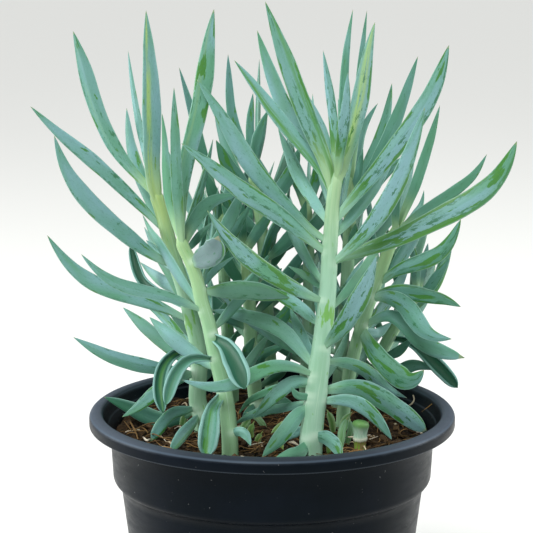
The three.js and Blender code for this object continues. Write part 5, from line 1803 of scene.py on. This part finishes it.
# %% [markdown]
# ### Turning and drilling
# The profile swept round gives the pot. Water leaves through round holes near the edge of its floor, which
# a boolean cuts as a drill would.

# %% Pot
DRAIN_HOLES = 6
DRAIN_CIRCLE = 48 * MM
DRAIN_RADIUS = 5 * MM
DRAIN_SIDES = 32
DRILL_SPARE = 1 * MM


def pot_piece():
    """The profile turned round the middle."""
    radius, height = pot_profile().T[:, :, None]
    grid = turned(radius, height, full_turn(POT_SIDES))
    parts = Parts()
    parts.add(grid, [0, 0, 0], [0, 0, FLOOR_THICKNESS], {"share": 0.0})
    return parts.build("nursery_pot", [POT_PLASTIC])


def drilled(piece):
    """The same piece with the drain holes cut through its floor."""
    parts = Parts()
    for x, y, _ in turned(DRAIN_CIRCLE, 0, full_turn(DRAIN_HOLES)):
        ends = np.array([[x, y, -DRILL_SPARE], [x, y, FLOOR_THICKNESS + DRILL_SPARE]])
        grid = ends[:, None] + turned(DRAIN_RADIUS, 0, full_turn(DRAIN_SIDES))
        parts.add(grid, *ends, {"share": 0.0})
    drill = parts.build("drill", [POT_PLASTIC])
    cut = piece.modifiers.new("drain", "BOOLEAN")
    cut.object = drill
    shape = piece.evaluated_get(bpy.context.evaluated_depsgraph_get())
    mesh = bpy.data.meshes.new_from_object(shape)
    piece.modifiers.clear()
    piece.data = mesh
    bpy.data.objects.remove(drill)
    return piece


pot = drilled(pot_piece())
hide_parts("pot")
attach(pot, "root")
print("pot faces:", len(pot.data.polygons))

# %% [markdown]
# ## Floor and light
# The plant stands on a plain pale floor that runs far back, under a bright even sky. A broad key light
# comes from over the viewer's left shoulder, and a large soft lamp stands at either side, a little higher
# than the leaves and further back. Small lamps would do with less light, but these give the waxy leaves
# their soft gradients, and the pot's plastic its long quiet reflections.

# %% Floor, world and lamps
FLOOR_HALF = 200
LAMP_AIM = np.array([0, 0, 260]) * MM
KEY_STRENGTH = 2.9
KEY_BREADTH = math.radians(24)
KEY_TURN = (math.radians(40), 0, math.radians(-22))
SKY_COLOUR = (0.9, 0.93, 0.96, 1)
SKY_STRENGTH = 0.32


def shown(name, data):
    """An object of the scene from its data."""
    made = bpy.data.objects.new(name, data)
    bpy.context.scene.collection.objects.link(made)
    return made


def floor_piece():
    """One large square under the pot."""
    corners = [(x * FLOOR_HALF, y * FLOOR_HALF, 0) for x, y in ((-1, -1), (1, -1), (1, 1), (-1, 1))]
    mesh = bpy.data.meshes.new("floor")
    mesh.from_pydata(corners, [], [(0, 1, 2, 3)])
    mesh.materials.append(Nodes("pale_floor", {"pale": (226, 226, 222)}).finish("pale", 0.9))
    shown("floor", mesh)


def area_lamp(name, place, size, power, colour):
    """A square lamp that shines at the middle of the plant."""
    data = bpy.data.lights.new(name, "AREA")
    data.size = size
    data.energy = power
    data.color = colour
    lamp = shown(name, data)
    lamp.location = place
    x, y, z = LAMP_AIM - np.array(place)
    lamp.rotation_euler = (math.atan2(math.hypot(x, y), -z), 0, math.atan2(-x, y))


floor_piece()
area_lamp("left_side", place=(-1.7, 0.35, 0.8), size=0.9, power=30, colour=(0.97, 0.99, 1))
area_lamp("right_side", place=(1.7, 0.45, 0.8), size=0.9, power=25, colour=(0.97, 0.99, 1))
sun = bpy.data.lights.new("key", "SUN")
sun.energy = KEY_STRENGTH
sun.angle = KEY_BREADTH
shown("key", sun).rotation_euler = KEY_TURN
world = bpy.data.worlds.new("studio")
world.use_nodes = True
world.node_tree.nodes["Background"].inputs["Color"].default_value = SKY_COLOUR
world.node_tree.nodes["Background"].inputs["Strength"].default_value = SKY_STRENGTH
bpy.context.scene.world = world
bpy.context.scene.view_settings.view_transform = "Standard"
print("lamps:", len(bpy.data.lights))

# %% [markdown]
